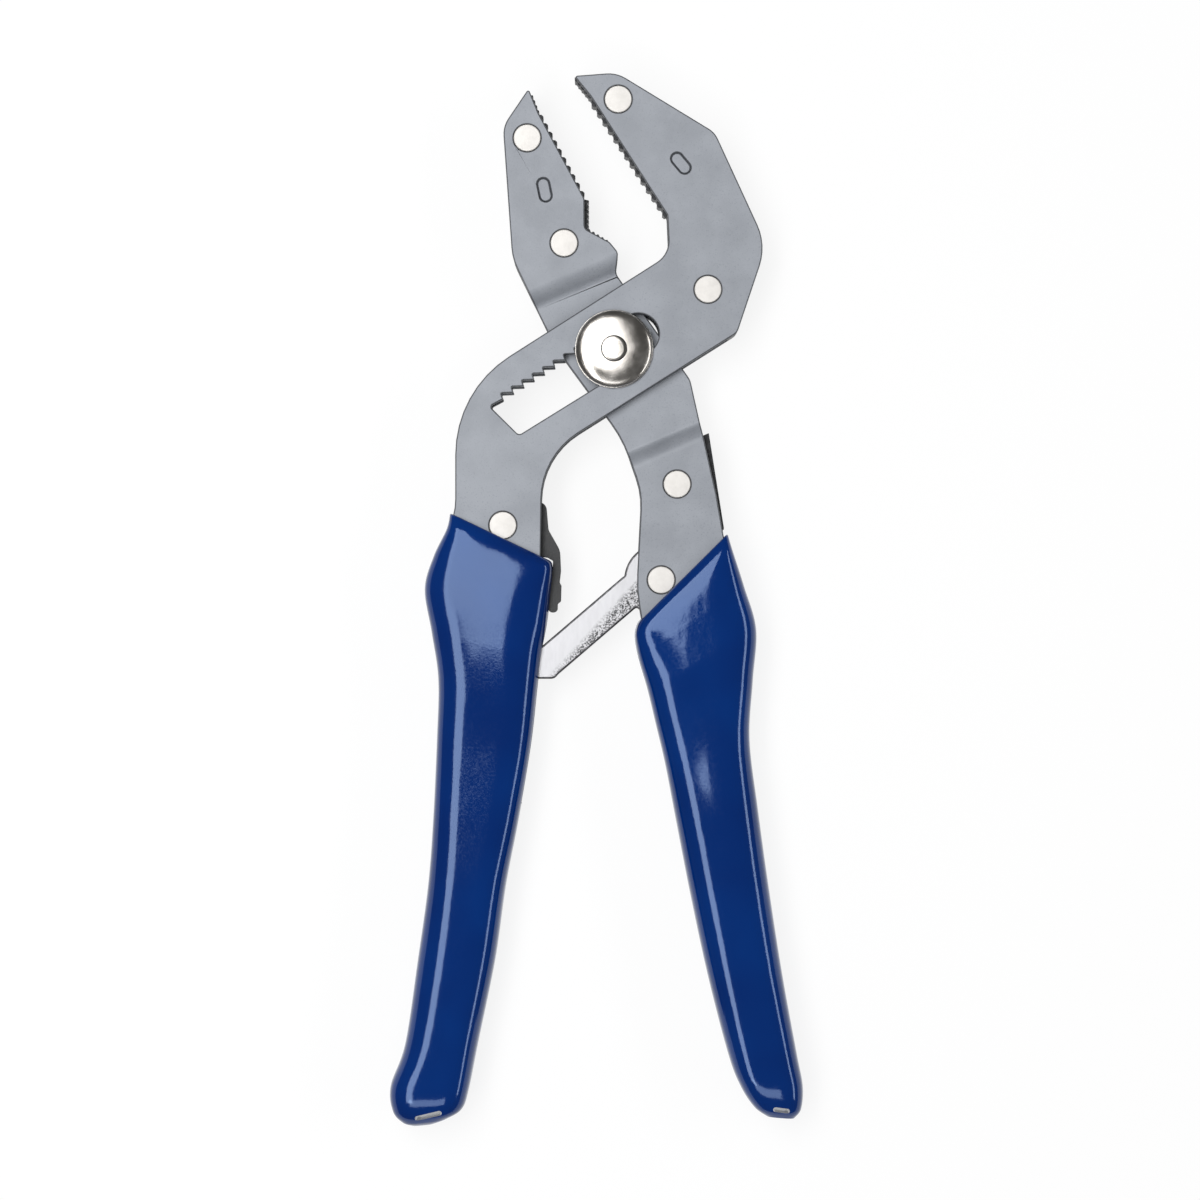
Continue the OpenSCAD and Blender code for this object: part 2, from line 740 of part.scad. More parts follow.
// Moulded catch that swings out of the left handle to hold the strut
module handle_latch() {
    arm = [-13.1, -45.3];
    outer = arm.x + latch_arm_w;
    foot = arm.x - 1;
    color([0.1, 0.1, 0.11]) at_mid() difference() {
        mid_layer(half_mid) {
            translate(latch_axis) circle(r = latch_hub_r);
            polygon(rounded([
                [latch_axis.x, latch_axis.y + latch_hub_r, 1], [-18, -32.6, 2], [-14.6, -32.8, 1.6],
                [-14.1, -38.6, 2], [outer - 0.2, -43, 4], [outer, -47.5, 4], [outer - 0.3, -50, 1],
                [outer + 0.1, -50.6, 0.5], [outer, -54, 0.5], [outer - 0.7, -54.6, 0.3],
                [outer - 0.7, -56.4, 0.9], [foot, -56.4, 0.9], [foot, -50, 1], [arm.x - 0.1, -47.6, 1],
                [arm.x, arm.y, 0.2], [arm.x - 1.2, arm.y + 0.7, 0.3], [-17, -44.2, 1],
                [latch_axis.x, latch_axis.y - latch_hub_r, 0]
            ]));
        }
        translate([latch_axis.x, latch_axis.y, 0]) cylinder(h = 20, d = rivet_d + 2 * fit, center = true);
    }
}

slotted_plate_front();
slotted_plate_rear();
hook_jaw_core();
hook_jaw_rivets();
latch_rivet();
left_handle_core();
left_handle_rivets();
left_grip();
return_spring();
pivot_pin();
pivot_cap_front();
pivot_cap_rear();
shift_pawl_front();
shift_pawl_rear();
pivot_bush();
joggled_plate_front();
joggled_plate_rear();
straight_jaw_core();
straight_jaw_rivets();
right_handle_spacer();
right_handle_core();
right_handle_rivets();
strut_rivet();
right_grip();
strut_bush();
strut();
cross_pin();
spring_seat();
handle_latch();
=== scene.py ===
# Self-adjusting laminated pliers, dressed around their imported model.
# Metres throughout: the pivot axis is at x = y = 0, +Y runs to the jaws and +Z up from the table.
import bpy
import bmesh
import json
import math
from mathutils import Matrix, Vector

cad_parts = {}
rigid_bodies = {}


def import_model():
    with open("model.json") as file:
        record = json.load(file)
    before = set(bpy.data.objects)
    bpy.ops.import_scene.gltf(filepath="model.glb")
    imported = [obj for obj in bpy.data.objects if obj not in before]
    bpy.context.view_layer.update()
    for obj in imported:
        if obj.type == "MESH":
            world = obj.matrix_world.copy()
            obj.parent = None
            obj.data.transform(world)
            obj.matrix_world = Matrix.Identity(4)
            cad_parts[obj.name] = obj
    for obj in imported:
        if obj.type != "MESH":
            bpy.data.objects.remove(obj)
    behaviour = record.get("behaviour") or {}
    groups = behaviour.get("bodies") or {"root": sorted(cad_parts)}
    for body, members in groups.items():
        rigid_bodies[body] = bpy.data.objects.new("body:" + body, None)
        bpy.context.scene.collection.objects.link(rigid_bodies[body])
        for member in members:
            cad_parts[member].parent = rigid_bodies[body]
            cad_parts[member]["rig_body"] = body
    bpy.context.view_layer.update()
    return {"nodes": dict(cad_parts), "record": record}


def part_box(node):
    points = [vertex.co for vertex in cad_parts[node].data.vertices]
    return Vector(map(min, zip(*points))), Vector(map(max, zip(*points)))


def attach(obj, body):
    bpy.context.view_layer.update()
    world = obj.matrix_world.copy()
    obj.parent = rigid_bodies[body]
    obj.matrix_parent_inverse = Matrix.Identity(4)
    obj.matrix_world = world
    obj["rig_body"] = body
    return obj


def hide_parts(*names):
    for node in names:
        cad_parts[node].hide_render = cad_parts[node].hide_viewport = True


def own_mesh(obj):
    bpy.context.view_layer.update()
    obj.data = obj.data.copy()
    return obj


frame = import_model()
nodes = frame["nodes"]
slotOf = {row["node"]: row["material_slot"] for row in frame["record"]["subparts"]}
mm = 0.001
midHeight = (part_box("pivot_pin")[0].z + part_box("pivot_pin")[1].z) / 2
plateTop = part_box("slotted_plate_front")[1].z
plateBottom = 2 * midHeight - plateTop
halfBody = plateTop - midHeight
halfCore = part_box("slotted_plate_front")[0].z - midHeight


# Camera.
cameraSettings = {
    "centre": (-3.0, -53.7),     # mm, the point in the middle of the frame
    "frameWidth": 256.8,         # mm across the frame, at the plates' top face
    "distance": 700.0,           # mm above the plates
    "sensor": 36.0,
    "nearest": 0.01,             # metres, closer things aren't shown
}


def addCamera(settings):
    data = bpy.data.cameras.new("benchCamera")
    data.sensor_width = settings["sensor"]
    data.lens = settings["sensor"] * settings["distance"] / settings["frameWidth"]
    data.clip_start = settings["nearest"]
    camera = bpy.data.objects.new("benchCamera", data)
    x, y = settings["centre"]
    camera.location = (x * mm, y * mm, plateTop + settings["distance"] * mm)
    bpy.context.scene.collection.objects.link(camera)
    bpy.context.scene.camera = camera


addCamera(cameraSettings)
print("camera: straight down on the tool")


# Node tree helpers.
class NodeBuilder:
    # Adds nodes to self.tree. An input is a number or another node's output.

    def node(self, kind, **values):
        made = self.tree.nodes.new(kind)
        for name, value in values.items():
            setattr(made, name, value)
        return made

    def link(self, source, target):
        self.tree.links.new(source, target)

    def feed(self, inputs, values):
        for socket, value in zip(inputs, values):
            if isinstance(value, (int, float)):
                socket.default_value = value
            else:
                self.link(value, socket)

    def math(self, operation, first, second=0.0):
        made = self.node("ShaderNodeMath", operation=operation)
        self.feed(made.inputs, (first, second))
        return made.outputs[0]

    def vector(self, x=0.0, y=0.0, z=0.0):
        made = self.node("ShaderNodeCombineXYZ")
        self.feed(made.inputs, (x, y, z))
        return made.outputs[0]


# Material helpers.
def srgb(red, green, blue):
    parts = [c / 255 for c in (red, green, blue)]
    return tuple(c / 12.92 if c <= 0.04045 else ((c + 0.055) / 1.055) ** 2.4 for c in parts) + (1.0,)


noiseSettings = {"rough": 0.55, "usual": (0.3, 0.7)}     # most of a noise's values lie in the usual range


class Finish(NodeBuilder):
    # One Principled material read on Object coordinates.

    def __init__(self, name, color, roughness, metallic=0.0):
        self.material = bpy.data.materials.new(name)
        self.material.use_nodes = True
        self.tree = self.material.node_tree
        self.shader = self.tree.nodes["Principled BSDF"]
        self.shader.inputs["Base Color"].default_value = color
        self.shader.inputs["Roughness"].default_value = roughness
        self.shader.inputs["Metallic"].default_value = metallic
        self.coordinates = self.node("ShaderNodeTexCoord").outputs["Object"]

    def mapped(self, scale=(1, 1, 1), turn=(0, 0, 0), centre=(0, 0, 0)):
        shift = self.node("ShaderNodeVectorMath", operation="SUBTRACT")
        shift.inputs[1].default_value = centre
        self.link(self.coordinates, shift.inputs[0])
        mapping = self.node("ShaderNodeMapping")
        mapping.inputs["Scale"].default_value = scale
        mapping.inputs["Rotation"].default_value = turn
        self.link(shift.outputs[0], mapping.inputs["Vector"])
        return mapping.outputs["Vector"]

    def split(self, vector):
        parts = self.node("ShaderNodeSeparateXYZ")
        self.link(vector, parts.inputs[0])
        return parts.outputs

    def noise(self, grain, detail, vector=None):
        # Noise whose features are about grain metres across.
        made = self.node("ShaderNodeTexNoise")
        made.inputs["Scale"].default_value = 1.0 / grain
        made.inputs["Detail"].default_value = detail
        made.inputs["Roughness"].default_value = noiseSettings["rough"]
        self.link(vector if vector is not None else self.coordinates, made.inputs["Vector"])
        return made.outputs["Fac"]

    def ramp(self, factor, stops, colors):
        made = self.node("ShaderNodeValToRGB")
        for element, place, color in zip(made.color_ramp.elements, stops, colors):
            element.position = place
            element.color = color
        self.link(factor, made.inputs["Fac"])
        return made.outputs["Color"]

    def remap(self, value, fromLow, fromHigh, toLow, toHigh):
        made = self.node("ShaderNodeMapRange")
        names = ("From Min", "From Max", "To Min", "To Max")
        for name, number in zip(names, (fromLow, fromHigh, toLow, toHigh)):
            made.inputs[name].default_value = number
        self.link(value, made.inputs["Value"])
        return made.outputs["Result"]

    def blend(self, factor, under, over):
        # Shows the over colour, a fixed one, where the factor is 1.
        made = self.node("ShaderNodeMix", data_type="RGBA", blend_type="MIX")
        self.link(factor, made.inputs[0])
        self.link(under, made.inputs[6])
        made.inputs[7].default_value = over
        return made.outputs[2]

    def color(self, source):
        self.link(source, self.shader.inputs["Base Color"])

    def roughness(self, source, settings):
        # Roughness either side of the settings' own, by the pair in "spread".
        low, high = (settings["roughness"] + change for change in settings["spread"])
        spread = self.remap(source, *noiseSettings["usual"], low, high)
        self.link(spread, self.shader.inputs["Roughness"])

    def bump(self, height, depth, strength):
        # Bump of the given depth in metres, stacked on any bump made before.
        made = self.node("ShaderNodeBump")
        made.inputs["Strength"].default_value = strength
        made.inputs["Distance"].default_value = depth
        self.link(height, made.inputs["Height"])
        normal = self.shader.inputs["Normal"]
        if normal.links:
            self.link(normal.links[0].from_socket, made.inputs["Normal"])
        self.link(made.outputs["Normal"], normal)


# Finishes. A noise is (size in metres, detail), stops say where a noise turns from the dark
# colour to the light one, and relief is (depth in metres, strength) of the bump.
enamelSettings = {
    "light": srgb(141, 145, 152), "dark": srgb(131, 135, 142), "speckle": srgb(112, 116, 123),
    "roughness": 0.48, "spread": (-0.07, 0.09), "metallic": 0.1,
    "rimPaintedShade": 0.3,             # painted shade: the share of the enamel's colour left on a stamping's rolled edge
    "patches": (9 * mm, 4.0), "stops": (0.35, 0.62),
    "grain": (0.32 * mm, 2.0), "relief": (0.03 * mm, 0.55), "fleckStops": (0.44, 0.30), "fleckShare": 0.55,
    # stamped marks, each ringed by a thin line of painted shade: ((x, y) in mm, degrees), half length, radius and
    # line width
    "marks": (((14.3, 39.8), -50), ((-14.9, 34.1), -78)), "markOutlineShade": srgb(66, 69, 76), "markOutlineShadeShare": 0.75,
    "markHalf": 1.25 * mm, "markRadius": 1.22 * mm, "line": 0.2 * mm,
}


def shadedMarkOutline(finish, settings, place, degrees):
    # Painted shade round an obround mark: strongest along a thin line, falling to 0 beside it.
    centre = (place[0] * mm, place[1] * mm, 0)
    parts = finish.split(finish.mapped(turn=(0, 0, -math.radians(degrees)), centre=centre))
    past = finish.math("SUBTRACT", finish.math("ABSOLUTE", parts[0]), settings["markHalf"])
    past = finish.math("MAXIMUM", past, 0.0)
    aside = finish.math("POWER", finish.math("ABSOLUTE", parts[1]), 2.0)
    squares = finish.math("ADD", finish.math("MULTIPLY", past, past), aside)
    off = finish.math("SUBTRACT", finish.math("SQRT", squares), settings["markRadius"])
    return finish.remap(finish.math("ABSOLUTE", off), 0.0, settings["line"], settings["markOutlineShadeShare"], 0.0)


# paintedShade scales every colour; below 1 it gives a copy of the enamel with painted shade
def enamelFinish(name, settings, paintedShade):
    finish = Finish(name, settings["light"], settings["roughness"], settings["metallic"])
    cloudy = finish.noise(*settings["patches"])
    grain = finish.noise(*settings["grain"])
    withPaintedShade = lambda color: tuple(c * paintedShade for c in color[:3]) + (1.0,)
    base = finish.ramp(cloudy, settings["stops"], (withPaintedShade(settings["dark"]), withPaintedShade(settings["light"])))
    flecks = finish.remap(grain, *settings["fleckStops"], 0.0, settings["fleckShare"])
    coat = finish.blend(flecks, base, withPaintedShade(settings["speckle"]))
    # Each stamped mark gets its thin ring of painted shade.
    for place, degrees in settings["marks"]:
        coat = finish.blend(shadedMarkOutline(finish, settings, place, degrees), coat, settings["markOutlineShade"])
    finish.color(coat)
    finish.roughness(grain, settings)
    finish.bump(grain, *settings["relief"])
    return finish.material


enamelFace = enamelFinish("greyEnamel", enamelSettings, 1.0)
# The plates' rounded rims take this copy: painted shade along every edge.
enamelPaintedShadeRim = enamelFinish("greyEnamelPaintedShadeRim", enamelSettings, enamelSettings["rimPaintedShade"])

# Finishes of two tones in patches, with fine grain in the roughness and the relief.
oxideSurface = {"patches": (1.3 * mm, 4.0), "stops": (0.42, 0.72), "grain": (0.18 * mm, 2.0),
                "spread": (-0.08, 0.14), "relief": (0.02 * mm, 0.5)}
mottledSettings = {
    # Painted shade: the plates' side walls are coloured dark for the shade on them.
    "cutEdgePaintedShade": {
        "dark": srgb(44, 47, 52), "light": srgb(86, 91, 98), "roughness": 0.5, "metallic": 0.6,
        "patches": (0.25 * mm, 3.0), "stops": (0.35, 0.68), "grain": (0.25 * mm, 3.0), "stretch": (1, 1, 0.12),
        "spread": (-0.14, 0.1), "relief": (0.04 * mm, 0.5),
    },
    "blackOxide": {
        **oxideSurface, "dark": srgb(20, 21, 23), "light": srgb(48, 49, 52), "roughness": 0.42, "metallic": 0.5,
    },
    "innerSteel": {
        **oxideSurface, "dark": srgb(84, 86, 88), "light": srgb(132, 133, 134), "roughness": 0.4, "metallic": 0.9,
    },
    "rivetSteel": {
        "dark": srgb(204, 201, 197), "light": srgb(211, 208, 204), "roughness": 0.45, "metallic": 0.2,
        "patches": (1.6 * mm, 3.0), "stops": (0.34, 0.6), "grain": (0.12 * mm, 2.0),
        "spread": (-0.07, 0.1), "relief": (0.012 * mm, 0.5),
    },
    # Painted shade: the dark colour of the sunk seams round rivet heads and the peened pin.
    "rivetCrevicePaintedShade": {
        **oxideSurface, "dark": srgb(34, 34, 36), "light": srgb(70, 71, 74), "roughness": 0.6, "metallic": 0.2,
    },
    # Painted shade: the strut's side walls and rounded rims are coloured dark.
    "strutEdgePaintedShade": {
        **oxideSurface, "dark": srgb(72, 72, 74), "light": srgb(112, 112, 114), "roughness": 0.4, "metallic": 0.8,
    },
    "bushBronze": {
        **oxideSurface, "dark": srgb(150, 108, 52), "light": srgb(196, 150, 84),
        "roughness": 0.32, "metallic": 1.0,
    },
    "latchPlastic": {
        "dark": srgb(12, 13, 15), "light": srgb(34, 36, 39), "roughness": 0.5, "metallic": 0.0,
        "patches": (0.3 * mm, 3.0), "stops": (0.35, 0.7), "grain": (0.3 * mm, 3.0),
        "spread": (-0.1, 0.12), "relief": (0.05 * mm, 0.6),
    },
}


def mottledFinish(name, settings):
    finish = Finish(name, settings["dark"], settings["roughness"], settings["metallic"])
    vector = finish.mapped(settings["stretch"]) if "stretch" in settings else None
    patches = finish.noise(*settings["patches"], vector)
    grain = finish.noise(*settings["grain"], vector)
    finish.color(finish.ramp(patches, settings["stops"], (settings["dark"], settings["light"])))
    finish.roughness(grain, settings)
    finish.bump(grain, *settings["relief"])
    return finish.material


mottled = {name: mottledFinish(name, settings) for name, settings in mottledSettings.items()}
nickelSettings = {
    "light": srgb(190, 186, 181), "dark": srgb(168, 164, 158), "roughness": 0.2, "spread": (-0.04, 0.08),
    "metallic": 1.0, "stops": (0.38, 0.58),
    "ringStretch": 0.12, "ringShare": 0.2, "rings": (0.16, 3.0),     # mm across each ring, detail
    "soft": (3.2 * mm, 2.0), "softRelief": (0.012 * mm, 0.2),
    "grain": (0.22 * mm, 2.0), "relief": (0.012 * mm, 0.45),
}


def turnedFinish(settings):
    # Turned metal: fine rings about the pivot axis, and soft streaks across them.
    finish = Finish("pivotNickel", settings["light"], settings["roughness"], settings["metallic"])
    parts = finish.split(finish.coordinates)
    x, y = parts[0], parts[1]
    squares = finish.math("ADD", finish.math("MULTIPLY", x, x), finish.math("MULTIPLY", y, y))
    radius = finish.math("MULTIPLY", finish.math("SQRT", squares), 1 / mm)
    angle = finish.math("MULTIPLY", finish.math("ARCTAN2", y, x), settings["ringStretch"])
    turned = finish.noise(*settings["rings"], finish.vector(radius, angle))
    soft = finish.noise(*settings["soft"])
    share = settings["ringShare"]
    tone = finish.math("ADD", finish.math("MULTIPLY", turned, share), finish.math("MULTIPLY", soft, 1 - share))
    finish.color(finish.ramp(tone, settings["stops"], (settings["dark"], settings["light"])))
    finish.roughness(soft, settings)
    finish.bump(soft, *settings["softRelief"])
    finish.bump(finish.noise(*settings["grain"]), *settings["relief"])
    return finish.material


pivotNickel = turnedFinish(nickelSettings)
tumbledSurface = {"patches": (1.1 * mm, 4.0), "stops": (0.36, 0.62), "stretch": (1, 0.25, 1), "turn": -44,
                  "grain": (0.15 * mm, 2.0), "spread": (-0.05, 0.12), "relief": (0.012 * mm, 0.5)}
chromeSettings = {
    **tumbledSurface, "light": srgb(194, 194, 197), "dark": srgb(186, 186, 189),
    "roughness": 0.38, "metallic": 0.5,
    # painted shade along the strut's lower edge, speckled, measured square to its length
    "paintedEdgeShade": srgb(58, 58, 60), "acrossTurn": 42.3, "paintedShadeFrom": 36.5 * mm, "paintedShadeTo": 38.0 * mm,
    "shadeSpeckle": (0.36 * mm, 3.0), "shadeSpeckleStops": (0.58, 0.42),
}
springSettings = {
    **tumbledSurface, "light": srgb(176, 178, 182), "dark": srgb(112, 114, 118),
    "roughness": 0.3, "metallic": 1.0,
}


def tumbledFinish(name, settings):
    finish = Finish(name, settings["light"], settings["roughness"], settings["metallic"])
    brushed = finish.mapped(settings["stretch"], (0, 0, math.radians(settings["turn"])))
    patches = finish.noise(*settings["patches"], brushed)
    plated = finish.ramp(patches, settings["stops"], (settings["dark"], settings["light"]))
    # Painted shade: a speckled dark band along the strut's lower edge.
    if "paintedEdgeShade" in settings:
        across = finish.split(finish.mapped(turn=(0, 0, math.radians(settings["acrossTurn"]))))[0]
        edge = finish.remap(across, settings["paintedShadeFrom"], settings["paintedShadeTo"], 0.0, 1.0)
        shadeSpeckle = finish.remap(finish.noise(*settings["shadeSpeckle"]), *settings["shadeSpeckleStops"], 0.0, 1.0)
        plated = finish.blend(finish.math("MULTIPLY", edge, shadeSpeckle), plated, settings["paintedEdgeShade"])
    finish.color(plated)
    finish.roughness(patches, settings)
    finish.bump(finish.noise(*settings["grain"]), *settings["relief"])
    return finish.material


strutChrome = tumbledFinish("strutChrome", chromeSettings)
springWire = tumbledFinish("springWire", springSettings)
vinylSettings = {
    "dark": srgb(0, 34, 96), "light": srgb(0, 41, 106), "sheen": srgb(188, 216, 255),
    "roughness": 0.07, "spread": (-0.03, 0.07), "refraction": 1.6,
    "patches": (22 * mm, 2.0), "stops": (0.35, 0.65),
    "ripple": (7 * mm, 2.0), "rippleStretch": (1, 0.35, 1), "rippleRelief": (0.22 * mm, 0.35),
    "grain": (0.5 * mm, 3.0), "relief": (0.012 * mm, 0.4),
}


def vinylFinish(settings):
    finish = Finish("dippedVinyl", settings["dark"], settings["roughness"])
    cloudy = finish.noise(*settings["patches"])
    ripple = finish.noise(*settings["ripple"], finish.mapped(settings["rippleStretch"]))
    pits = finish.noise(*settings["grain"])
    finish.color(finish.ramp(cloudy, settings["stops"], (settings["dark"], settings["light"])))
    finish.roughness(pits, settings)
    finish.bump(ripple, *settings["rippleRelief"])
    finish.bump(pits, *settings["relief"])
    finish.shader.inputs["IOR"].default_value = settings["refraction"]
    finish.shader.inputs["Specular Tint"].default_value = settings["sheen"]
    return finish.material


dippedVinyl = vinylFinish(vinylSettings)
finishOf = {
    "enamel_steel": enamelFace, "core_steel": mottled["blackOxide"], "rivet_steel": mottled["rivetSteel"],
    "pivot_nickel": pivotNickel, "strut_chrome": strutChrome, "inner_steel": mottled["innerSteel"],
    "bush_bronze": mottled["bushBronze"], "spring_steel": springWire, "grip_vinyl": dippedVinyl,
    "latch_plastic": mottled["latchPlastic"],
}
for name, node in nodes.items():          # every carried-over solid gets its real finish too
    node.data.materials.clear()
    node.data.materials.append(finishOf[slotOf[name]])
print("finishes: %d materials" % len(bpy.data.materials))


# Mesh helpers.
weldSettings = {"gap": 0.002 * mm, "flat": 0.6}     # metres, and degrees between faces joined as flat


def linkMesh(name, mesh, materials):
    piece = bpy.data.objects.new(name, mesh)
    bpy.context.scene.collection.objects.link(piece)
    piece.data.materials.clear()
    for material in materials:
        piece.data.materials.append(material)
    return piece


def bakeModifiers(piece):
    # Turns the evaluated piece into a plain mesh.
    bpy.context.view_layer.update()
    evaluated = piece.evaluated_get(bpy.context.evaluated_depsgraph_get())
    mesh = bpy.data.meshes.new_from_object(evaluated)
    piece.modifiers.clear()
    old = piece.data
    piece.data = mesh
    bpy.data.meshes.remove(old)


def smoothByAngle(mesh, degrees):
    mesh.polygons.foreach_set("use_smooth", [True] * len(mesh.polygons))
    mesh.set_sharp_from_angle(angle=math.radians(degrees))


def placePiece(piece, body, slot, *replaced):
    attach(piece, body)
    if replaced:
        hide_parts(*replaced)


def mergedCopy(node):
    # A copy of a solid's triangles, welded and joined into flat faces.
    mesh = nodes[node].data.copy()
    shape = bmesh.new()
    shape.from_mesh(mesh)
    bmesh.ops.remove_doubles(shape, verts=shape.verts, dist=weldSettings["gap"])
    bmesh.ops.dissolve_limit(shape, angle_limit=math.radians(weldSettings["flat"]),
                             verts=shape.verts, edges=shape.edges)
    shape.to_mesh(mesh)
    shape.free()
    return mesh


# Stamped plates, cores and links: the solids with their edges broken.
edgeSettings = {
    "plates": {"bevel": 0.27 * mm, "rows": 2, "clamped": False},
    "cores": {"bevel": 0.07 * mm, "rows": 1, "clamped": True},
    "strut": {"bevel": 0.45 * mm, "rows": 3, "clamped": False},
    "latch": {"bevel": 0.35 * mm, "rows": 3, "clamped": True},
    "sharp": 32, "smooth": 25,   # degrees: sharper edges are broken, and shallower ones shaded smooth
    "sideSlope": 0.35,           # faces whose normal rises less than this count as sides
}
bendSettings = {
    "convex": 3.0 * mm, "concave": 1.3 * mm, "rows": 8,     # how wide each kind of fold's curve is
    "beyond": 3 * mm,            # how far past its ends a fold still bends the plate
    "shortest": 4 * mm, "upright": 0.5, "sharp": 0.3,       # what counts as a fold: length, face slope, radians
    "cutGap": 1e-7,
}


def foldLines(shape, settings):
    # The fold lines of a joggled plate, which run between two faces that both look up or down.
    lines = []
    for edge in shape.edges:
        if len(edge.link_faces) == 2 and edge.calc_length() > settings["shortest"]:
            flat, slope = sorted((face.normal.copy() for face in edge.link_faces), key=lambda n: -abs(n.z))
            if abs(slope.z) > settings["upright"] and flat.angle(slope) > settings["sharp"]:
                start, end = (vert.co.copy() for vert in edge.verts)
                along = (end - start).normalized()
                lines.append({
                    "start": start, "along": along, "across": Vector((-along.y, along.x, 0)),
                    "length": (end - start).length, "side": math.copysign(1, flat.z),
                    "steep": slope.xy.length / abs(slope.z), "kind": "convex" if edge.is_convex else "concave",
                })
    return lines


def roundBends(mesh, settings):
    # Cuts each fold into narrow rows and bends them to a curve.
    shape = bmesh.new()
    shape.from_mesh(mesh)
    lines = foldLines(shape, settings)
    for line in lines:
        wide = settings[line["kind"]]
        for row in range(settings["rows"] + 1):
            place = line["start"] + line["across"] * wide * (row / settings["rows"] - 0.5)
            bmesh.ops.bisect_plane(shape, geom=shape.verts[:] + shape.edges[:] + shape.faces[:],
                                   dist=settings["cutGap"], plane_co=place, plane_no=line["across"])
    for vert in shape.verts:
        looks = [face.normal.z for face in vert.link_faces if abs(face.normal.z) > settings["upright"]]
        for line in lines if looks else []:
            off = vert.co - line["start"]
            inside = settings[line["kind"]] / 2 - abs(off.dot(line["across"]))
            reach = off.dot(line["along"])
            within = -settings["beyond"] < reach < line["length"] + settings["beyond"]
            if looks[0] * line["side"] > 0 and inside > 0 and within:
                lift = line["steep"] * inside ** 2 / (2 * settings[line["kind"]])
                vert.co.z += lift * line["side"] * (-1 if line["kind"] == "convex" else 1)
    shape.to_mesh(mesh)
    shape.free()


def breakEdges(node, kind, settings, materials, sideMaterial=0, rimMaterial=-1):
    # The solid with softened edges. Side faces and the softened rim can take their own material.
    mesh = mergedCopy(node)
    if kind == "plates":
        roundBends(mesh, bendSettings)
    piece = linkMesh(node + "_dressed", mesh, materials)
    for face in mesh.polygons:
        face.material_index = sideMaterial if abs(face.normal.z) < settings["sideSlope"] else 0
    bevel = piece.modifiers.new("softEdges", "BEVEL")
    bevel.width = settings[kind]["bevel"]
    bevel.segments = settings[kind]["rows"]
    bevel.limit_method = "ANGLE"
    bevel.angle_limit = math.radians(settings["sharp"])
    bevel.material = rimMaterial
    bevel.miter_outer = "MITER_ARC"
    bevel.use_clamp_overlap = settings[kind]["clamped"]
    bakeModifiers(piece)
    smoothByAngle(piece.data, settings["smooth"])
    even = piece.modifiers.new("flatFaces", "WEIGHTED_NORMAL")
    even.keep_sharp = True
    bakeModifiers(piece)
    placePiece(piece, nodes[node]["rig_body"], slotOf[node], node)


for node in ("slotted_plate_front", "slotted_plate_rear", "joggled_plate_front", "joggled_plate_rear"):
    # Plates: side walls take the dark colour with painted shade, and rounded rims the enamel with painted shade.
    breakEdges(node, "plates", edgeSettings, [enamelFace, mottled["cutEdgePaintedShade"], enamelPaintedShadeRim], 1, 2)
for node in ("hook_jaw_core", "straight_jaw_core", "right_handle_spacer"):
    breakEdges(node, "cores", edgeSettings, [mottled["blackOxide"]])
# The strut's side walls and rims take the dark painted-shade colour.
breakEdges("strut", "strut", edgeSettings, [strutChrome, mottled["strutEdgePaintedShade"]], 1, 1)
breakEdges("handle_latch", "latch", edgeSettings, [mottled["latchPlastic"]])
print("plates, cores, strut and latch: edges broken")


# Geometry Nodes helper.
class GeometryTree(NodeBuilder):
    # A Geometry Nodes tree with named inputs, run on one object and baked to a plain mesh.

    def __init__(self, name, inputs):
        self.tree = bpy.data.node_groups.new(name, "GeometryNodeTree")
        self.tree.interface.new_socket("Geometry", in_out="INPUT", socket_type="NodeSocketGeometry")
        self.tree.interface.new_socket("Geometry", in_out="OUTPUT", socket_type="NodeSocketGeometry")
        self.values = inputs
        self.ids = {}
        for key, value in inputs.items():
            kind = "NodeSocketInt" if isinstance(value, int) else "NodeSocketFloat"
            self.ids[key] = self.tree.interface.new_socket(key, in_out="INPUT", socket_type=kind).identifier
        self.start = self.tree.nodes.new("NodeGroupInput")

    def given(self, name):
        return self.start.outputs[name]

    def moved(self, geometry, offset=None, turn=None):
        made = self.node("GeometryNodeTransform")
        self.link(geometry, made.inputs["Geometry"])
        if offset is not None:
            self.link(offset, made.inputs["Translation"])
        if turn is not None:
            self.link(turn, made.inputs["Rotation"])
        return made.outputs["Geometry"]

    def painted(self, geometry, material):
        made = self.node("GeometryNodeSetMaterial")
        made.inputs["Material"].default_value = material
        self.link(geometry, made.inputs["Geometry"])
        return made.outputs["Geometry"]

    def swept(self, curve, radius, sides, capped=False):
        # A round bar along a curve.
        section = self.node("GeometryNodeCurvePrimitiveCircle")
        self.link(sides, section.inputs["Resolution"])
        self.link(radius, section.inputs["Radius"])
        sweep = self.node("GeometryNodeCurveToMesh")
        sweep.inputs["Fill Caps"].default_value = capped
        self.link(curve, sweep.inputs["Curve"])
        self.link(section.outputs["Curve"], sweep.inputs["Profile Curve"])
        return sweep.outputs["Mesh"]

    def joined(self, *parts):
        made = self.node("GeometryNodeJoinGeometry")
        for part in reversed(parts):
            self.link(part, made.inputs[0])
        return made.outputs[0]

    def bake(self, piece, geometry):
        # Ends the tree with the geometry and replaces the piece's mesh by the result.
        end = self.node("NodeGroupOutput")
        self.link(geometry, end.inputs["Geometry"])
        modifier = piece.modifiers.new("shape", "NODES")
        modifier.node_group = self.tree
        for key, value in self.values.items():
            modifier[self.ids[key]] = value
        bakeModifiers(piece)


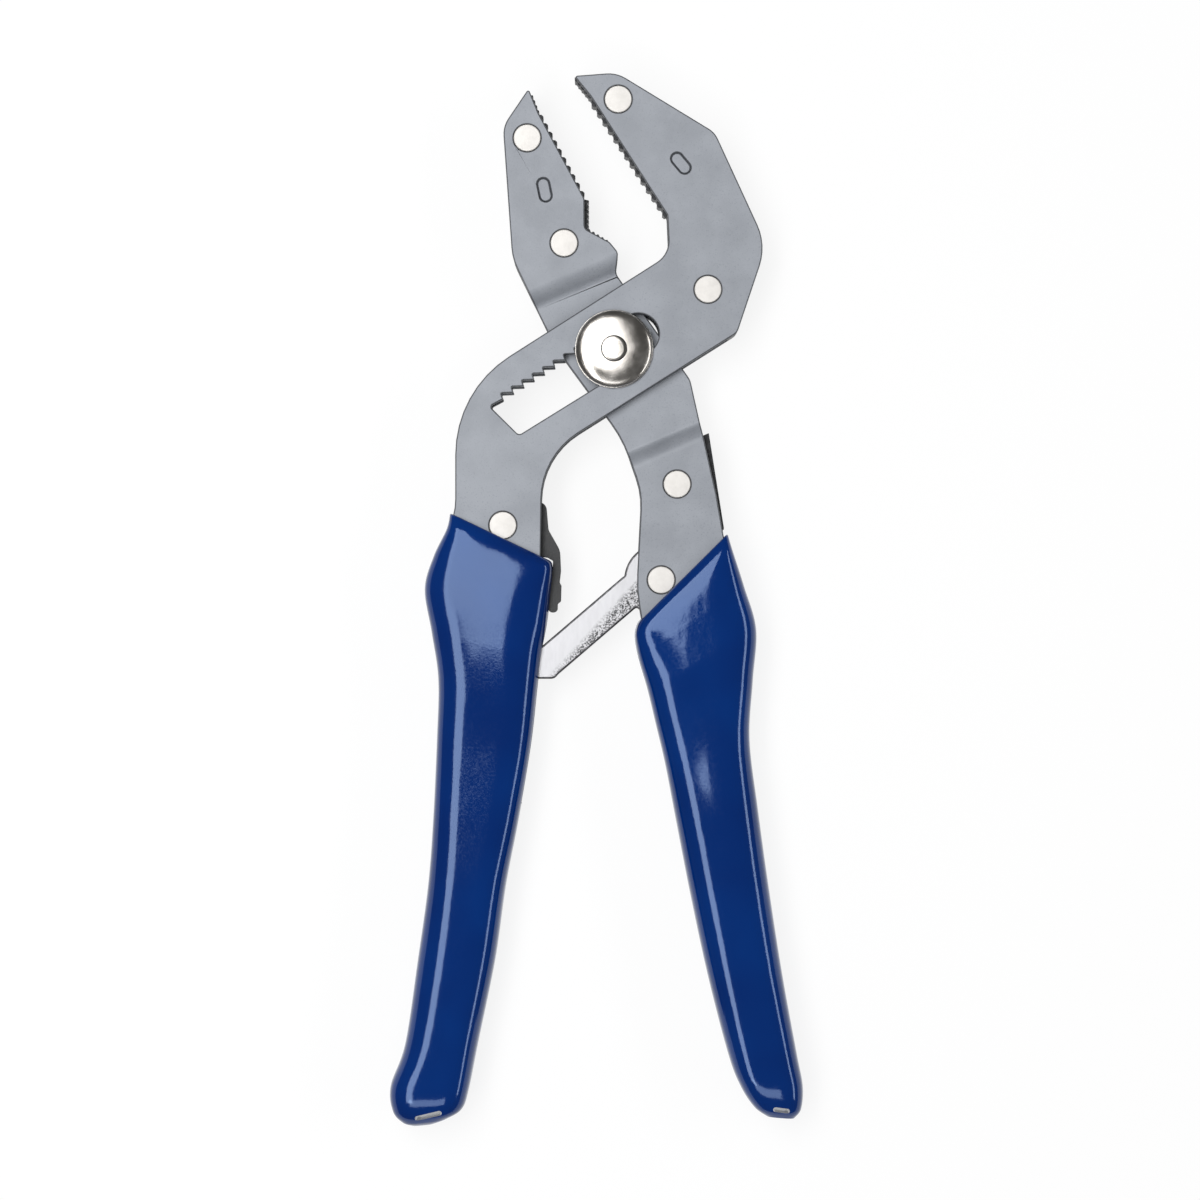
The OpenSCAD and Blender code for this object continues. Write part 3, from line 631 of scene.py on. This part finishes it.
# Rivets.
rivetShape = {
    "headRadius": 2.9 * mm, "chamfer": 0.16 * mm, "crown": 0.05 * mm, "proud": 0.15 * mm,
    "shankRadius": 2.18 * mm, "sunk": 0.5 * mm, "crownShare": 0.35, "sides": 56,
    "creviceWidth": 0.11 * mm, "creviceOut": 0.5, "creviceSunk": 0.55, "creviceSides": 8,     # shares of the width
}
rivetSmooth = 12                 # degrees


def rivetCentres(node):
    # Centres of a node's round solids, from the separate pieces of its mesh.
    shape = bmesh.new()
    shape.from_mesh(nodes[node].data)
    bmesh.ops.remove_doubles(shape, verts=shape.verts, dist=weldSettings["gap"])
    left, centres = set(shape.verts), []
    while left:
        wave, group = [left.pop()], []
        while wave:
            vertex = wave.pop()
            group.append(vertex.co)
            for edge in vertex.link_edges:
                other = edge.other_vert(vertex)
                if other in left:
                    left.discard(other)
                    wave.append(other)
        xs, ys = [p.x for p in group], [p.y for p in group]
        centres.append(((min(xs) + max(xs)) / 2, (min(ys) + max(ys)) / 2, midHeight))
    shape.free()
    return sorted(centres)


def rivetTree(settings):
    build = GeometryTree("rivetPattern", {**settings, "halfReach": halfBody})
    head, chamfer, crown = (build.given(name) for name in ("headRadius", "chamfer", "crown"))
    wide = build.given("creviceWidth")
    rise = build.math("ADD", build.given("halfReach"), build.given("proud"))
    flat = build.math("SUBTRACT", head, chamfer)
    shoulder = build.math("SUBTRACT", rise, build.math("ADD", chamfer, crown))
    floor = build.math("SUBTRACT", build.given("halfReach"), build.given("sunk"))

    def frustum(low, high, bottom, depth):
        made = build.node("GeometryNodeMeshCone", fill_type="NGON")
        build.link(build.given("sides"), made.inputs["Vertices"])
        build.link(high, made.inputs["Radius Top"])
        build.link(low, made.inputs["Radius Bottom"])
        build.link(depth, made.inputs["Depth"])
        return build.moved(made.outputs["Mesh"], build.vector(z=bottom))

    body = frustum(build.given("shankRadius"), head, floor, build.math("SUBTRACT", shoulder, floor))
    edge = frustum(head, flat, shoulder, chamfer)
    inner = build.math("MULTIPLY", head, build.given("crownShare"))
    face = frustum(flat, inner, build.math("ADD", shoulder, chamfer), crown)
    ring = build.node("GeometryNodeCurvePrimitiveCircle")
    build.link(build.given("sides"), ring.inputs["Resolution"])
    out = build.math("MULTIPLY", wide, build.given("creviceOut"))
    build.link(build.math("ADD", head, out), ring.inputs["Radius"])
    sunk = build.math("MULTIPLY", wide, build.given("creviceSunk"))
    seamHeight = build.vector(z=build.math("SUBTRACT", build.given("halfReach"), sunk))
    seam = build.moved(build.swept(ring.outputs["Curve"], wide, build.given("creviceSides")), seamHeight)
    bright = build.painted(build.joined(body, edge, face), mottled["rivetSteel"])
    # The seam ring round each head is coloured dark: painted shade in the crevice.
    front = build.joined(bright, build.painted(seam, mottled["rivetCrevicePaintedShade"]))
    rear = build.moved(front, turn=build.vector(math.pi))
    shank = build.node("GeometryNodeMeshCylinder")
    build.link(build.given("sides"), shank.inputs["Vertices"])
    build.link(build.given("shankRadius"), shank.inputs["Radius"])
    build.link(build.math("MULTIPLY", floor, 2.0), shank.inputs["Depth"])
    rivet = build.joined(front, rear, build.painted(shank.outputs["Mesh"], mottled["rivetSteel"]))
    points = build.node("GeometryNodeMeshToPoints")
    build.link(build.given("Geometry"), points.inputs["Mesh"])
    copies = build.node("GeometryNodeInstanceOnPoints")
    build.link(points.outputs["Points"], copies.inputs["Points"])
    build.link(rivet, copies.inputs["Instance"])
    real = build.node("GeometryNodeRealizeInstances")
    build.link(copies.outputs["Instances"], real.inputs["Geometry"])
    return build, real.outputs["Geometry"]


def setRivets(name, body, nodeNames):
    centres = [point for node in nodeNames for point in rivetCentres(node)]
    mesh = bpy.data.meshes.new(name)
    mesh.from_pydata(centres, [], [])
    piece = linkMesh(name, mesh, [mottled["rivetSteel"], mottled["rivetCrevicePaintedShade"]])
    build, geometry = rivetTree(rivetShape)
    build.bake(piece, geometry)
    smoothByAngle(piece.data, rivetSmooth)
    placePiece(piece, body, "rivet_steel", *nodeNames)


setRivets("outerLeverRivets", "slotted_lever", ["hook_jaw_rivets", "latch_rivet", "left_handle_rivets"])
setRivets("innerLeverRivets", "jaw_lever", ["straight_jaw_rivets", "right_handle_rivets", "strut_rivet"])
print("rivets: set in both levers")


# Return spring.
springShape = {
    "wire": 0.7 * mm, "outer": 4.4 * mm, "turns": 13.0, "endTurns": 1.0, "endPitch": 2.1,    # of the wire's radius
    "sides": 10, "stepsPerTurn": 40, "smooth": 60,
    "heading": 263, "travel": 14.2 * mm,     # which way it lies, in degrees from +X, and how far its seat moves
}


def coilReturnSpring(settings):
    low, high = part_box("return_spring")
    heading = math.radians(settings["heading"])
    way = Vector((math.cos(heading), math.sin(heading), 0))
    points = [vertex.co.dot(way) for vertex in nodes["return_spring"].data.vertices]
    start, end = min(points), max(points)
    middle = (low + high) / 2
    origin = middle - way * (middle.dot(way) - start)
    length = end - start
    allTurns = settings["turns"] + 2 * settings["endTurns"]
    build = GeometryTree("returnSpring", {
        "radius": (settings["outer"] - settings["wire"]) / 2, "wireRadius": settings["wire"] / 2,
        "turns": settings["turns"], "endTurns": settings["endTurns"], "endPitch": settings["endPitch"],
        "length": length - settings["wire"], "sides": settings["sides"],
        "points": int(settings["stepsPerTurn"] * allTurns),
    })
    line = build.node("GeometryNodeCurvePrimitiveLine")
    resample = build.node("GeometryNodeResampleCurve")
    build.link(line.outputs["Curve"], resample.inputs["Curve"])
    build.link(build.given("points"), resample.inputs["Count"])
    along = build.node("GeometryNodeSplineParameter")
    total = build.math("ADD", build.given("turns"), build.math("MULTIPLY", build.given("endTurns"), 2.0))
    turn = build.math("MULTIPLY", along.outputs["Factor"], total)
    angle = build.math("MULTIPLY", turn, 2 * math.pi)
    past = build.math("MAXIMUM", build.math("SUBTRACT", turn, build.given("endTurns")), 0.0)
    opened = build.math("MINIMUM", past, build.given("turns"))
    closedPitch = build.math("MULTIPLY", build.given("wireRadius"), build.given("endPitch"))
    closedHeight = build.math("MULTIPLY", build.math("MULTIPLY", build.given("endTurns"), 2.0), closedPitch)
    openHeight = build.math("SUBTRACT", build.given("length"), closedHeight)
    rise = build.math("DIVIDE", openHeight, build.given("turns"))
    closed = build.math("MULTIPLY", build.math("SUBTRACT", turn, opened), closedPitch)
    height = build.math("ADD", build.math("MULTIPLY", opened, rise), closed)
    x, y = (build.math("MULTIPLY", build.math(wave, angle), build.given("radius")) for wave in ("COSINE", "SINE"))
    shift = build.node("GeometryNodeSetPosition")
    build.link(resample.outputs["Curve"], shift.inputs["Geometry"])
    build.link(build.vector(x, y, height), shift.inputs["Position"])
    wire = build.swept(shift.outputs["Geometry"], build.given("wireRadius"), build.given("sides"), True)
    real = build.node("GeometryNodeRealizeInstances")
    build.link(build.painted(wire, springWire), real.inputs["Geometry"])
    piece = linkMesh("returnSpringCoil", bpy.data.meshes.new("returnSpringCoil"), [springWire])
    build.bake(piece, real.outputs["Geometry"])
    side = Vector((0, 0, 1)).cross(way)
    across = way.cross(side)
    turnMatrix = Matrix((side, across, way)).transposed().to_4x4()
    piece.data.transform(Matrix.Translation(origin + way * settings["wire"] / 2) @ turnMatrix)
    smoothByAngle(piece.data, settings["smooth"])
    placePiece(piece, "slotted_lever", "spring_steel", "return_spring")
    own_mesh(piece)


coilReturnSpring(springShape)
print("return spring: coiled in the left handle")


# Pivot caps.
capShape = {                     # mm, heights above the middle plane
    "radius": 8.4, "flangeWidth": 0.16, "rim": 0.5, "height": 2.0, "seat": 4.8,
    "chamfer": 0.15, "lip": (0.05, 0.04),
    "pinRadius": 2.2, "play": 0.02, "peenRadius": 2.62, "seam": 0.2, "seamDepth": 0.25, "domePower": 0.85,
    "shoulder": 0.24, "peenSteps": ((0.0, 0.18), (0.06, 0.08), (0.25, 0.02), (0.6, 0.0)),
    "domeRows": 20, "capSides": 128, "pinSides": 96,
    "weld": 0.0005 * mm, "smooth": 35,       # metres, degrees
}


def lathe(profile, sides, weld):
    # Closed surface of revolution about the pivot axis. The profile is (radius, z) from the inside round.
    shape = bmesh.new()
    rings = []
    for k in range(sides):
        angle = 2 * math.pi * k / sides
        rings.append([shape.verts.new((r * math.cos(angle), r * math.sin(angle), z)) for r, z in profile])
    count = len(profile)
    for k in range(sides):
        here, after = rings[k], rings[(k + 1) % sides]
        for i in range(count):
            j = (i + 1) % count
            shape.faces.new((here[i], after[i], after[j], here[j]))
    bmesh.ops.remove_doubles(shape, verts=shape.verts, dist=weld)
    loose = [edge for edge in shape.edges if not edge.link_faces]
    bmesh.ops.delete(shape, geom=loose, context="EDGES")
    bmesh.ops.recalc_face_normals(shape, faces=shape.faces)
    mesh = bpy.data.meshes.new("lathed")
    shape.to_mesh(mesh)
    shape.free()
    return mesh


def pivotCap(name, settings, upward):
    # A pressed cap: a flat flange, a shallow dome, and a seam round the peened pin.
    r, seat, chamfer, lip = (settings[key] for key in ("radius", "seat", "chamfer", "lip"))
    brim, top, dome = seat + settings["rim"], seat + settings["height"], r - settings["flangeWidth"]
    hole, inner = settings["pinRadius"] + settings["play"], settings["peenRadius"] + settings["seam"]
    profile = [(hole, seat), (r - chamfer, seat), (r, seat + chamfer), (r, brim - chamfer),
               (r - lip[0], brim - lip[1]), (dome + lip[1], brim)]
    rows = settings["domeRows"]
    for k in range(rows + 1):
        a = math.pi / 2 * k / rows
        height = brim + (top - brim) * math.sin(a) ** settings["domePower"]
        profile.append((inner + (dome - inner) * math.cos(a), height))
    profile += [(inner, top - settings["seamDepth"]), (hole, top - settings["seamDepth"])]
    sign = 1 if upward else -1
    mesh = lathe([(a * mm, midHeight + sign * b * mm) for a, b in profile], settings["capSides"], settings["weld"])
    piece = linkMesh(name + "_turned", mesh, [pivotNickel, mottled["rivetCrevicePaintedShade"]])
    # The sunk seam round the peened pin takes the dark painted-shade colour.
    for face in mesh.polygons:
        if face.center.xy.length < inner * mm:
            face.material_index = 1
    smoothByAngle(piece.data, settings["smooth"])
    placePiece(piece, "pivot_carriage", "pivot_nickel", name)


pivotCap("pivot_cap_front", capShape, True)
pivotCap("pivot_cap_rear", capShape, False)


def pivotPin(settings):
    # The pin with both ends peened over their caps.
    low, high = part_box("pivot_pin")
    reach = (high.z - low.z) / 2 / mm
    peen, pin = settings["peenRadius"], settings["pinRadius"]
    shoulder = settings["seat"] + settings["height"] - settings["shoulder"]
    half = [(pin, 0.0), (pin, shoulder), (peen, shoulder)]
    half += [(peen - inward, reach - down) for inward, down in settings["peenSteps"]] + [(0.0, reach)]
    profile = [(a * mm, midHeight + b * mm) for a, b in half]
    profile += [(a * mm, midHeight - b * mm) for a, b in reversed(half) if b]
    mesh = lathe(profile, settings["pinSides"], settings["weld"])
    piece = linkMesh("pivot_pin_turned", mesh, [pivotNickel])
    smoothByAngle(piece.data, settings["smooth"])
    placePiece(piece, "pivot_carriage", "pivot_nickel", "pivot_pin")


pivotPin(capShape)
print("pivot: caps and peened pin")


# Dipped grips.
# Each station is (left x, left y, right x, right y, half thickness, roundness) in mm, from the mouth to the end.
# A small roundness is a box with soft corners, and 1 is an ellipse.
gripShape = {
    "sides": 112, "pieces": 14, "half": 7.3, "lipHalf": 5.7, "lipRound": 0.5, "lipSteps": (90, 65, 40, 18),
    "skin": 0.01,                # mm that the sleeve stays inside its stations
    "smooth": 30,                # degrees
}
full, lip = gripShape["half"], gripShape["lipHalf"]
leftStations = [
    (-35.2, -35.0, -13.4, -45.4, lip, 0.3), (-35.9, -38.4, -13.2, -47.4, full - 0.3, 0.34),
    (-38.8, -44.4, -13.6, -52.0, full, 0.46), (-40.7, -51.4, -14.4, -59.0, full, 0.56),
    (-39.2, -60.8, -15.6, -65.5, full, 0.6), (-37.8, -70.8, -16.5, -73.5, full - 0.12, 0.6),
    (-38.1, -83.7, -17.8, -85.0, full - 0.5, 0.6), (-38.9, -100.8, -20.5, -101.0, full - 0.3, 0.63),
    (-40.0, -115.0, -23.2, -115.0, full, 0.67), (-42.2, -131.0, -25.5, -131.0, full, 0.7),
    (-44.9, -149.0, -29.2, -149.0, full, 0.66), (-48.0, -158.0, -31.2, -159.0, full, 0.6),
    (-47.6, -163.4, -32.6, -163.0, full - 0.9, 0.6), (-45.6, -165.9, -35.6, -165.0, full - 2.6, 0.6),
    (-43.6, -166.7, -38.4, -166.2, full - 4.6, 0.6),
]
rightStations = [
    (5.1, -58.6, 24.4, -39.4, lip, 0.3), (4.5, -61.4, 25.4, -42.8, full - 0.3, 0.34),
    (5.2, -66.0, 28.0, -50.8, full, 0.46), (7.2, -73.0, 30.6, -60.0, full, 0.56),
    (9.0, -80.5, 29.9, -71.0, full - 0.4, 0.6), (11.0, -89.0, 29.2, -83.7, full - 0.45, 0.64),
    (13.4, -101.5, 31.0, -98.7, full, 0.68), (16.6, -117.9, 33.4, -116.0, full, 0.7),
    (20.3, -135.0, 36.2, -134.0, full, 0.68), (24.6, -151.5, 39.3, -151.0, full, 0.62),
    (27.2, -158.2, 40.6, -158.0, full - 0.3, 0.6), (30.0, -162.5, 40.3, -162.9, full - 1.6, 0.6),
    (32.6, -164.5, 38.9, -165.0, full - 3.6, 0.6),
]


def curvePoint(a, b, c, d, t):
    # A point between b and c on a Catmull-Rom spline.
    return tuple(0.5 * (2 * q + (r - p) * t + (2 * p - 5 * q + 4 * r - s) * t * t
                        + (3 * q - p - 3 * r + s) * t ** 3) for p, q, r, s in zip(a, b, c, d))


def smoothPath(stations, pieces):
    last = len(stations) - 1
    path = []
    for i in range(last):
        four = [stations[min(max(i + step, 0), last)] for step in (-1, 0, 1, 2)]
        path += [curvePoint(*four, j / pieces) for j in range(pieces)]
    return path + [stations[last]]


def gripRing(station, settings, shrink):
    # One closed ring of the sleeve, shrunk by some mm all round.
    left, right = Vector((station[0], station[1], 0)), Vector((station[2], station[3], 0))
    centre, side = (left + right) / 2, (right - left) / 2
    half = min(station[4], settings["half"]) - shrink
    side = side * (1 - shrink / side.length)
    bulge = lambda v: math.copysign(abs(v) ** station[5], v)
    ring = []
    for k in range(settings["sides"]):
        a = 2 * math.pi * k / settings["sides"]
        point = centre + side * bulge(math.cos(a)) + Vector((0, 0, half * bulge(math.sin(a))))
        ring.append(point * mm + Vector((0, 0, midHeight)))
    return ring


def gripBody(name, stations, settings):
    # Smooth dipped sleeve: one closed skin over all the rings, its mouth edge rounded over.
    path = smoothPath(stations, settings["pieces"])
    rings = [gripRing(station, settings, settings["skin"]) for station in path]
    away = [(b - a).normalized() for a, b in zip(rings[0], rings[1])]
    lip = settings["lipRound"]
    turned = []
    for degrees in settings["lipSteps"]:
        shrink = lip * (1 - math.cos(math.radians(degrees)))
        back = lip * (1 - math.sin(math.radians(degrees))) * mm
        turned.append([p + w * back for p, w in zip(gripRing(path[0], settings, shrink), away)])
    start = next(i for i, ring in enumerate(rings) if (ring[0] - rings[0][0]).length > lip * mm)
    rings = turned + rings[start:]
    shape = bmesh.new()
    made = [[shape.verts.new(p) for p in ring] for ring in rings]
    count = settings["sides"]
    for a, b in zip(made, made[1:]):
        for k in range(count):
            j = (k + 1) % count
            shape.faces.new((a[k], a[j], b[j], b[k]))
    shape.faces.new(list(reversed(made[0])))
    shape.faces.new(made[-1])
    bmesh.ops.recalc_face_normals(shape, faces=shape.faces)
    mesh = bpy.data.meshes.new(name)
    shape.to_mesh(mesh)
    shape.free()
    return linkMesh(name, mesh, [dippedVinyl])


flatFace = {"rise": 0.999, "near": 0.02 * mm}


def outerLoop(node, height):
    # The largest closed outline of a solid's flat faces at the given height.
    shape = bmesh.new()
    shape.from_mesh(nodes[node].data)
    bmesh.ops.remove_doubles(shape, verts=shape.verts, dist=weldSettings["gap"])
    flat = {face for face in shape.faces if face.normal.z > flatFace["rise"]
            and abs(face.calc_center_median().z - height) < flatFace["near"]}
    rim = {edge for face in flat for edge in face.edges if sum(f in flat for f in edge.link_faces) == 1}
    shape.edges.index_update()
    loops = []
    while rim:
        first = min(rim, key=lambda edge: edge.index)
        rim.discard(first)
        loop, here = [first.verts[0]], first.verts[1]
        while here is not loop[0]:
            loop.append(here)
            step = next(edge for edge in here.link_edges if edge in rim)
            rim.discard(step)
            here = step.other_vert(here)
        loops.append([(v.co.x, v.co.y) for v in loop])
    shape.free()
    area = lambda loop: abs(sum(a[0] * b[1] - b[0] * a[1] for a, b in zip(loop, loop[1:] + loop[:1])))
    return max(loops, key=area)


def prism(outline, low, high):
    # Upright closed solid over an outline in metres.
    shape = bmesh.new()
    bottom = [shape.verts.new((x, y, low)) for x, y in outline]
    top = [shape.verts.new((x, y, high)) for x, y in outline]
    shape.faces.new(list(reversed(bottom)))
    shape.faces.new(top)
    for i in range(len(outline)):
        j = (i + 1) % len(outline)
        shape.faces.new((bottom[i], bottom[j], top[j], top[i]))
    bmesh.ops.recalc_face_normals(shape, faces=shape.faces)
    mesh = bpy.data.meshes.new("cutter")
    shape.to_mesh(mesh)
    shape.free()
    return mesh


def rectangle(x0, y0, x1, y1):
    return [(x0 * mm, y0 * mm), (x1 * mm, y0 * mm), (x1 * mm, y1 * mm), (x0 * mm, y1 * mm)]


def disc(x, y, radius, sides=48):
    angles = [2 * math.pi * k / sides for k in range(sides)]
    return [((x + radius * math.cos(a)) * mm, (y + radius * math.sin(a)) * mm) for a in angles]


def slotOutline(x, y, length, width, degrees, steps=12):
    # Round-ended slot.
    turn, points = math.radians(degrees), []
    for end in (1, -1):
        for k in range(steps + 1):
            a = math.pi * (k / steps - 0.5) + (0 if end > 0 else math.pi)
            px = end * (length - width) / 2 + width / 2 * math.cos(a)
            py = width / 2 * math.sin(a)
            points.append(((x + px * math.cos(turn) - py * math.sin(turn)) * mm,
                           (y + px * math.sin(turn) + py * math.cos(turn)) * mm))
    return points


def carve(piece, cuts):
    for outline, low, high in cuts:
        cutter = bpy.data.objects.new("cutter", prism(outline, low, high))
        bpy.context.scene.collection.objects.link(cutter)
        boolean = piece.modifiers.new("carve", "BOOLEAN")
        boolean.operation = "DIFFERENCE"
        boolean.solver = "EXACT"
        boolean.object = cutter
        bakeModifiers(piece)
        bpy.data.objects.remove(cutter)


# mm: a slit is (x, y, x, y), a rivet (x, y), and a hanging slot (x, y, length, width, degrees)
leftCuts = {
    "plate": "slotted_plate_front", "slit": (-26, -97.4, 0, -30), "rivet": (-23.8, -37.7),
    "hangingSlot": (-39.7, -163.9, 5.9, 1.1, 14),
}
rightCuts = {
    "plate": "joggled_plate_front", "slit": (0, -70, 13, -48), "rivet": (10.1, -49.4),
    "hangingSlot": (35.8, -162.8, 3.6, 1.1, -8),
}
cutShape = {"rivetRadius": 2.95, "rivetPast": 0.2 * mm, "slotPast": 1 * mm}


def gripCuts(places, settings):
    # Room for the plates, the core between them, a rivet head and the hanging slot, each with its heights.
    past, deep = settings["rivetPast"], settings["slotPast"]
    return [
        (outerLoop(places["plate"], plateTop), plateBottom, plateTop),
        (rectangle(*places["slit"]), midHeight - halfCore, midHeight + halfCore),
        (disc(*places["rivet"], settings["rivetRadius"]), plateBottom - past, plateTop + past),
        (slotOutline(*places["hangingSlot"]), -deep, 2 * midHeight + deep),
    ]


def dressGrip(name, stations, places, body, node):
    piece = gripBody(name, stations, gripShape)
    carve(piece, gripCuts(places, cutShape))
    smoothByAngle(piece.data, gripShape["smooth"])
    placePiece(piece, body, "grip_vinyl", node)
    print("%s: %d faces" % (name, len(piece.data.polygons)))


dressGrip("leftGripSleeve", leftStations, leftCuts, "slotted_lever", "left_grip")
dressGrip("rightGripSleeve", rightStations, rightCuts, "jaw_lever", "right_grip")


# Table and light.
stageSettings = {
    "tableSize": 6.0, "tableColor": (0.86, 0.86, 0.865, 1.0), "tableRoughness": 0.9, "tableGloss": 0.1,
    "cameraWhite": 0.86,         # how much of the table's own glow the camera and mirrors see
    "worldColor": (1.0, 1.0, 1.0, 1.0), "worldStrength": 0.13,
}


def addTable(settings):
    half = settings["tableSize"] / 2
    mesh = bpy.data.meshes.new("table")
    mesh.from_pydata([(-half, -half, 0), (half, -half, 0), (half, half, 0), (-half, half, 0)], [], [(0, 1, 2, 3)])
    finish = Finish("paleTable", settings["tableColor"], settings["tableRoughness"])
    finish.shader.inputs["Specular IOR Level"].default_value = settings["tableGloss"]
    path = finish.node("ShaderNodeLightPath")
    seen = finish.math("MAXIMUM", path.outputs["Is Camera Ray"], path.outputs["Is Glossy Ray"])
    mix = finish.node("ShaderNodeMixShader")
    finish.link(finish.math("MULTIPLY", seen, settings["cameraWhite"]), mix.inputs[0])
    finish.link(finish.shader.outputs[0], mix.inputs[1])
    finish.link(finish.node("ShaderNodeEmission").outputs[0], mix.inputs[2])
    finish.link(mix.outputs[0], finish.tree.nodes["Material Output"].inputs["Surface"])
    table = linkMesh("paleTable", mesh, [finish.material])


def addWorld(settings):
    world = bpy.data.worlds.new("studio")
    bpy.context.scene.world = world
    world.use_nodes = True
    background = world.node_tree.nodes["Background"]
    background.inputs["Color"].default_value = settings["worldColor"]
    background.inputs["Strength"].default_value = settings["worldStrength"]


# Place in metres, tilt about Y in degrees, size across and along in metres, brightness as a mirror shows it.
lampSettings = {
    "overheadSoftbox": {"place": (-0.16, 0.205, 0.8), "tilt": 0, "size": (0.36, 0.59), "brightness": 5.3},
    "leftSoftbox": {"place": (-0.37, -0.05, 0.8), "tilt": 0, "size": (0.26, 1.15), "brightness": 5.8},
    "frontSoftbox": {"place": (-0.1, -0.62, 0.78), "tilt": 0, "size": (0.5, 0.22), "brightness": 3.5},
    "rightStrip": {"place": (0.72, -0.12, 0.44), "tilt": 58, "size": (0.14, 0.9), "brightness": 5.0},
}


def addLamps(settings):
    for name, lamp in settings.items():
        data = bpy.data.lights.new(name, "AREA")
        data.shape = "RECTANGLE"
        data.size, data.size_y = lamp["size"]
        data.energy = lamp["brightness"] * math.pi * data.size * data.size_y
        light = bpy.data.objects.new(name, data)
        light.location = lamp["place"]
        light.rotation_euler = (0, math.radians(lamp["tilt"]), 0)
        bpy.context.scene.collection.objects.link(light)


addTable(stageSettings)
addWorld(stageSettings)
addLamps(lampSettings)
bpy.context.scene.view_settings.view_transform = "Standard"
print("table and lamps: ready")
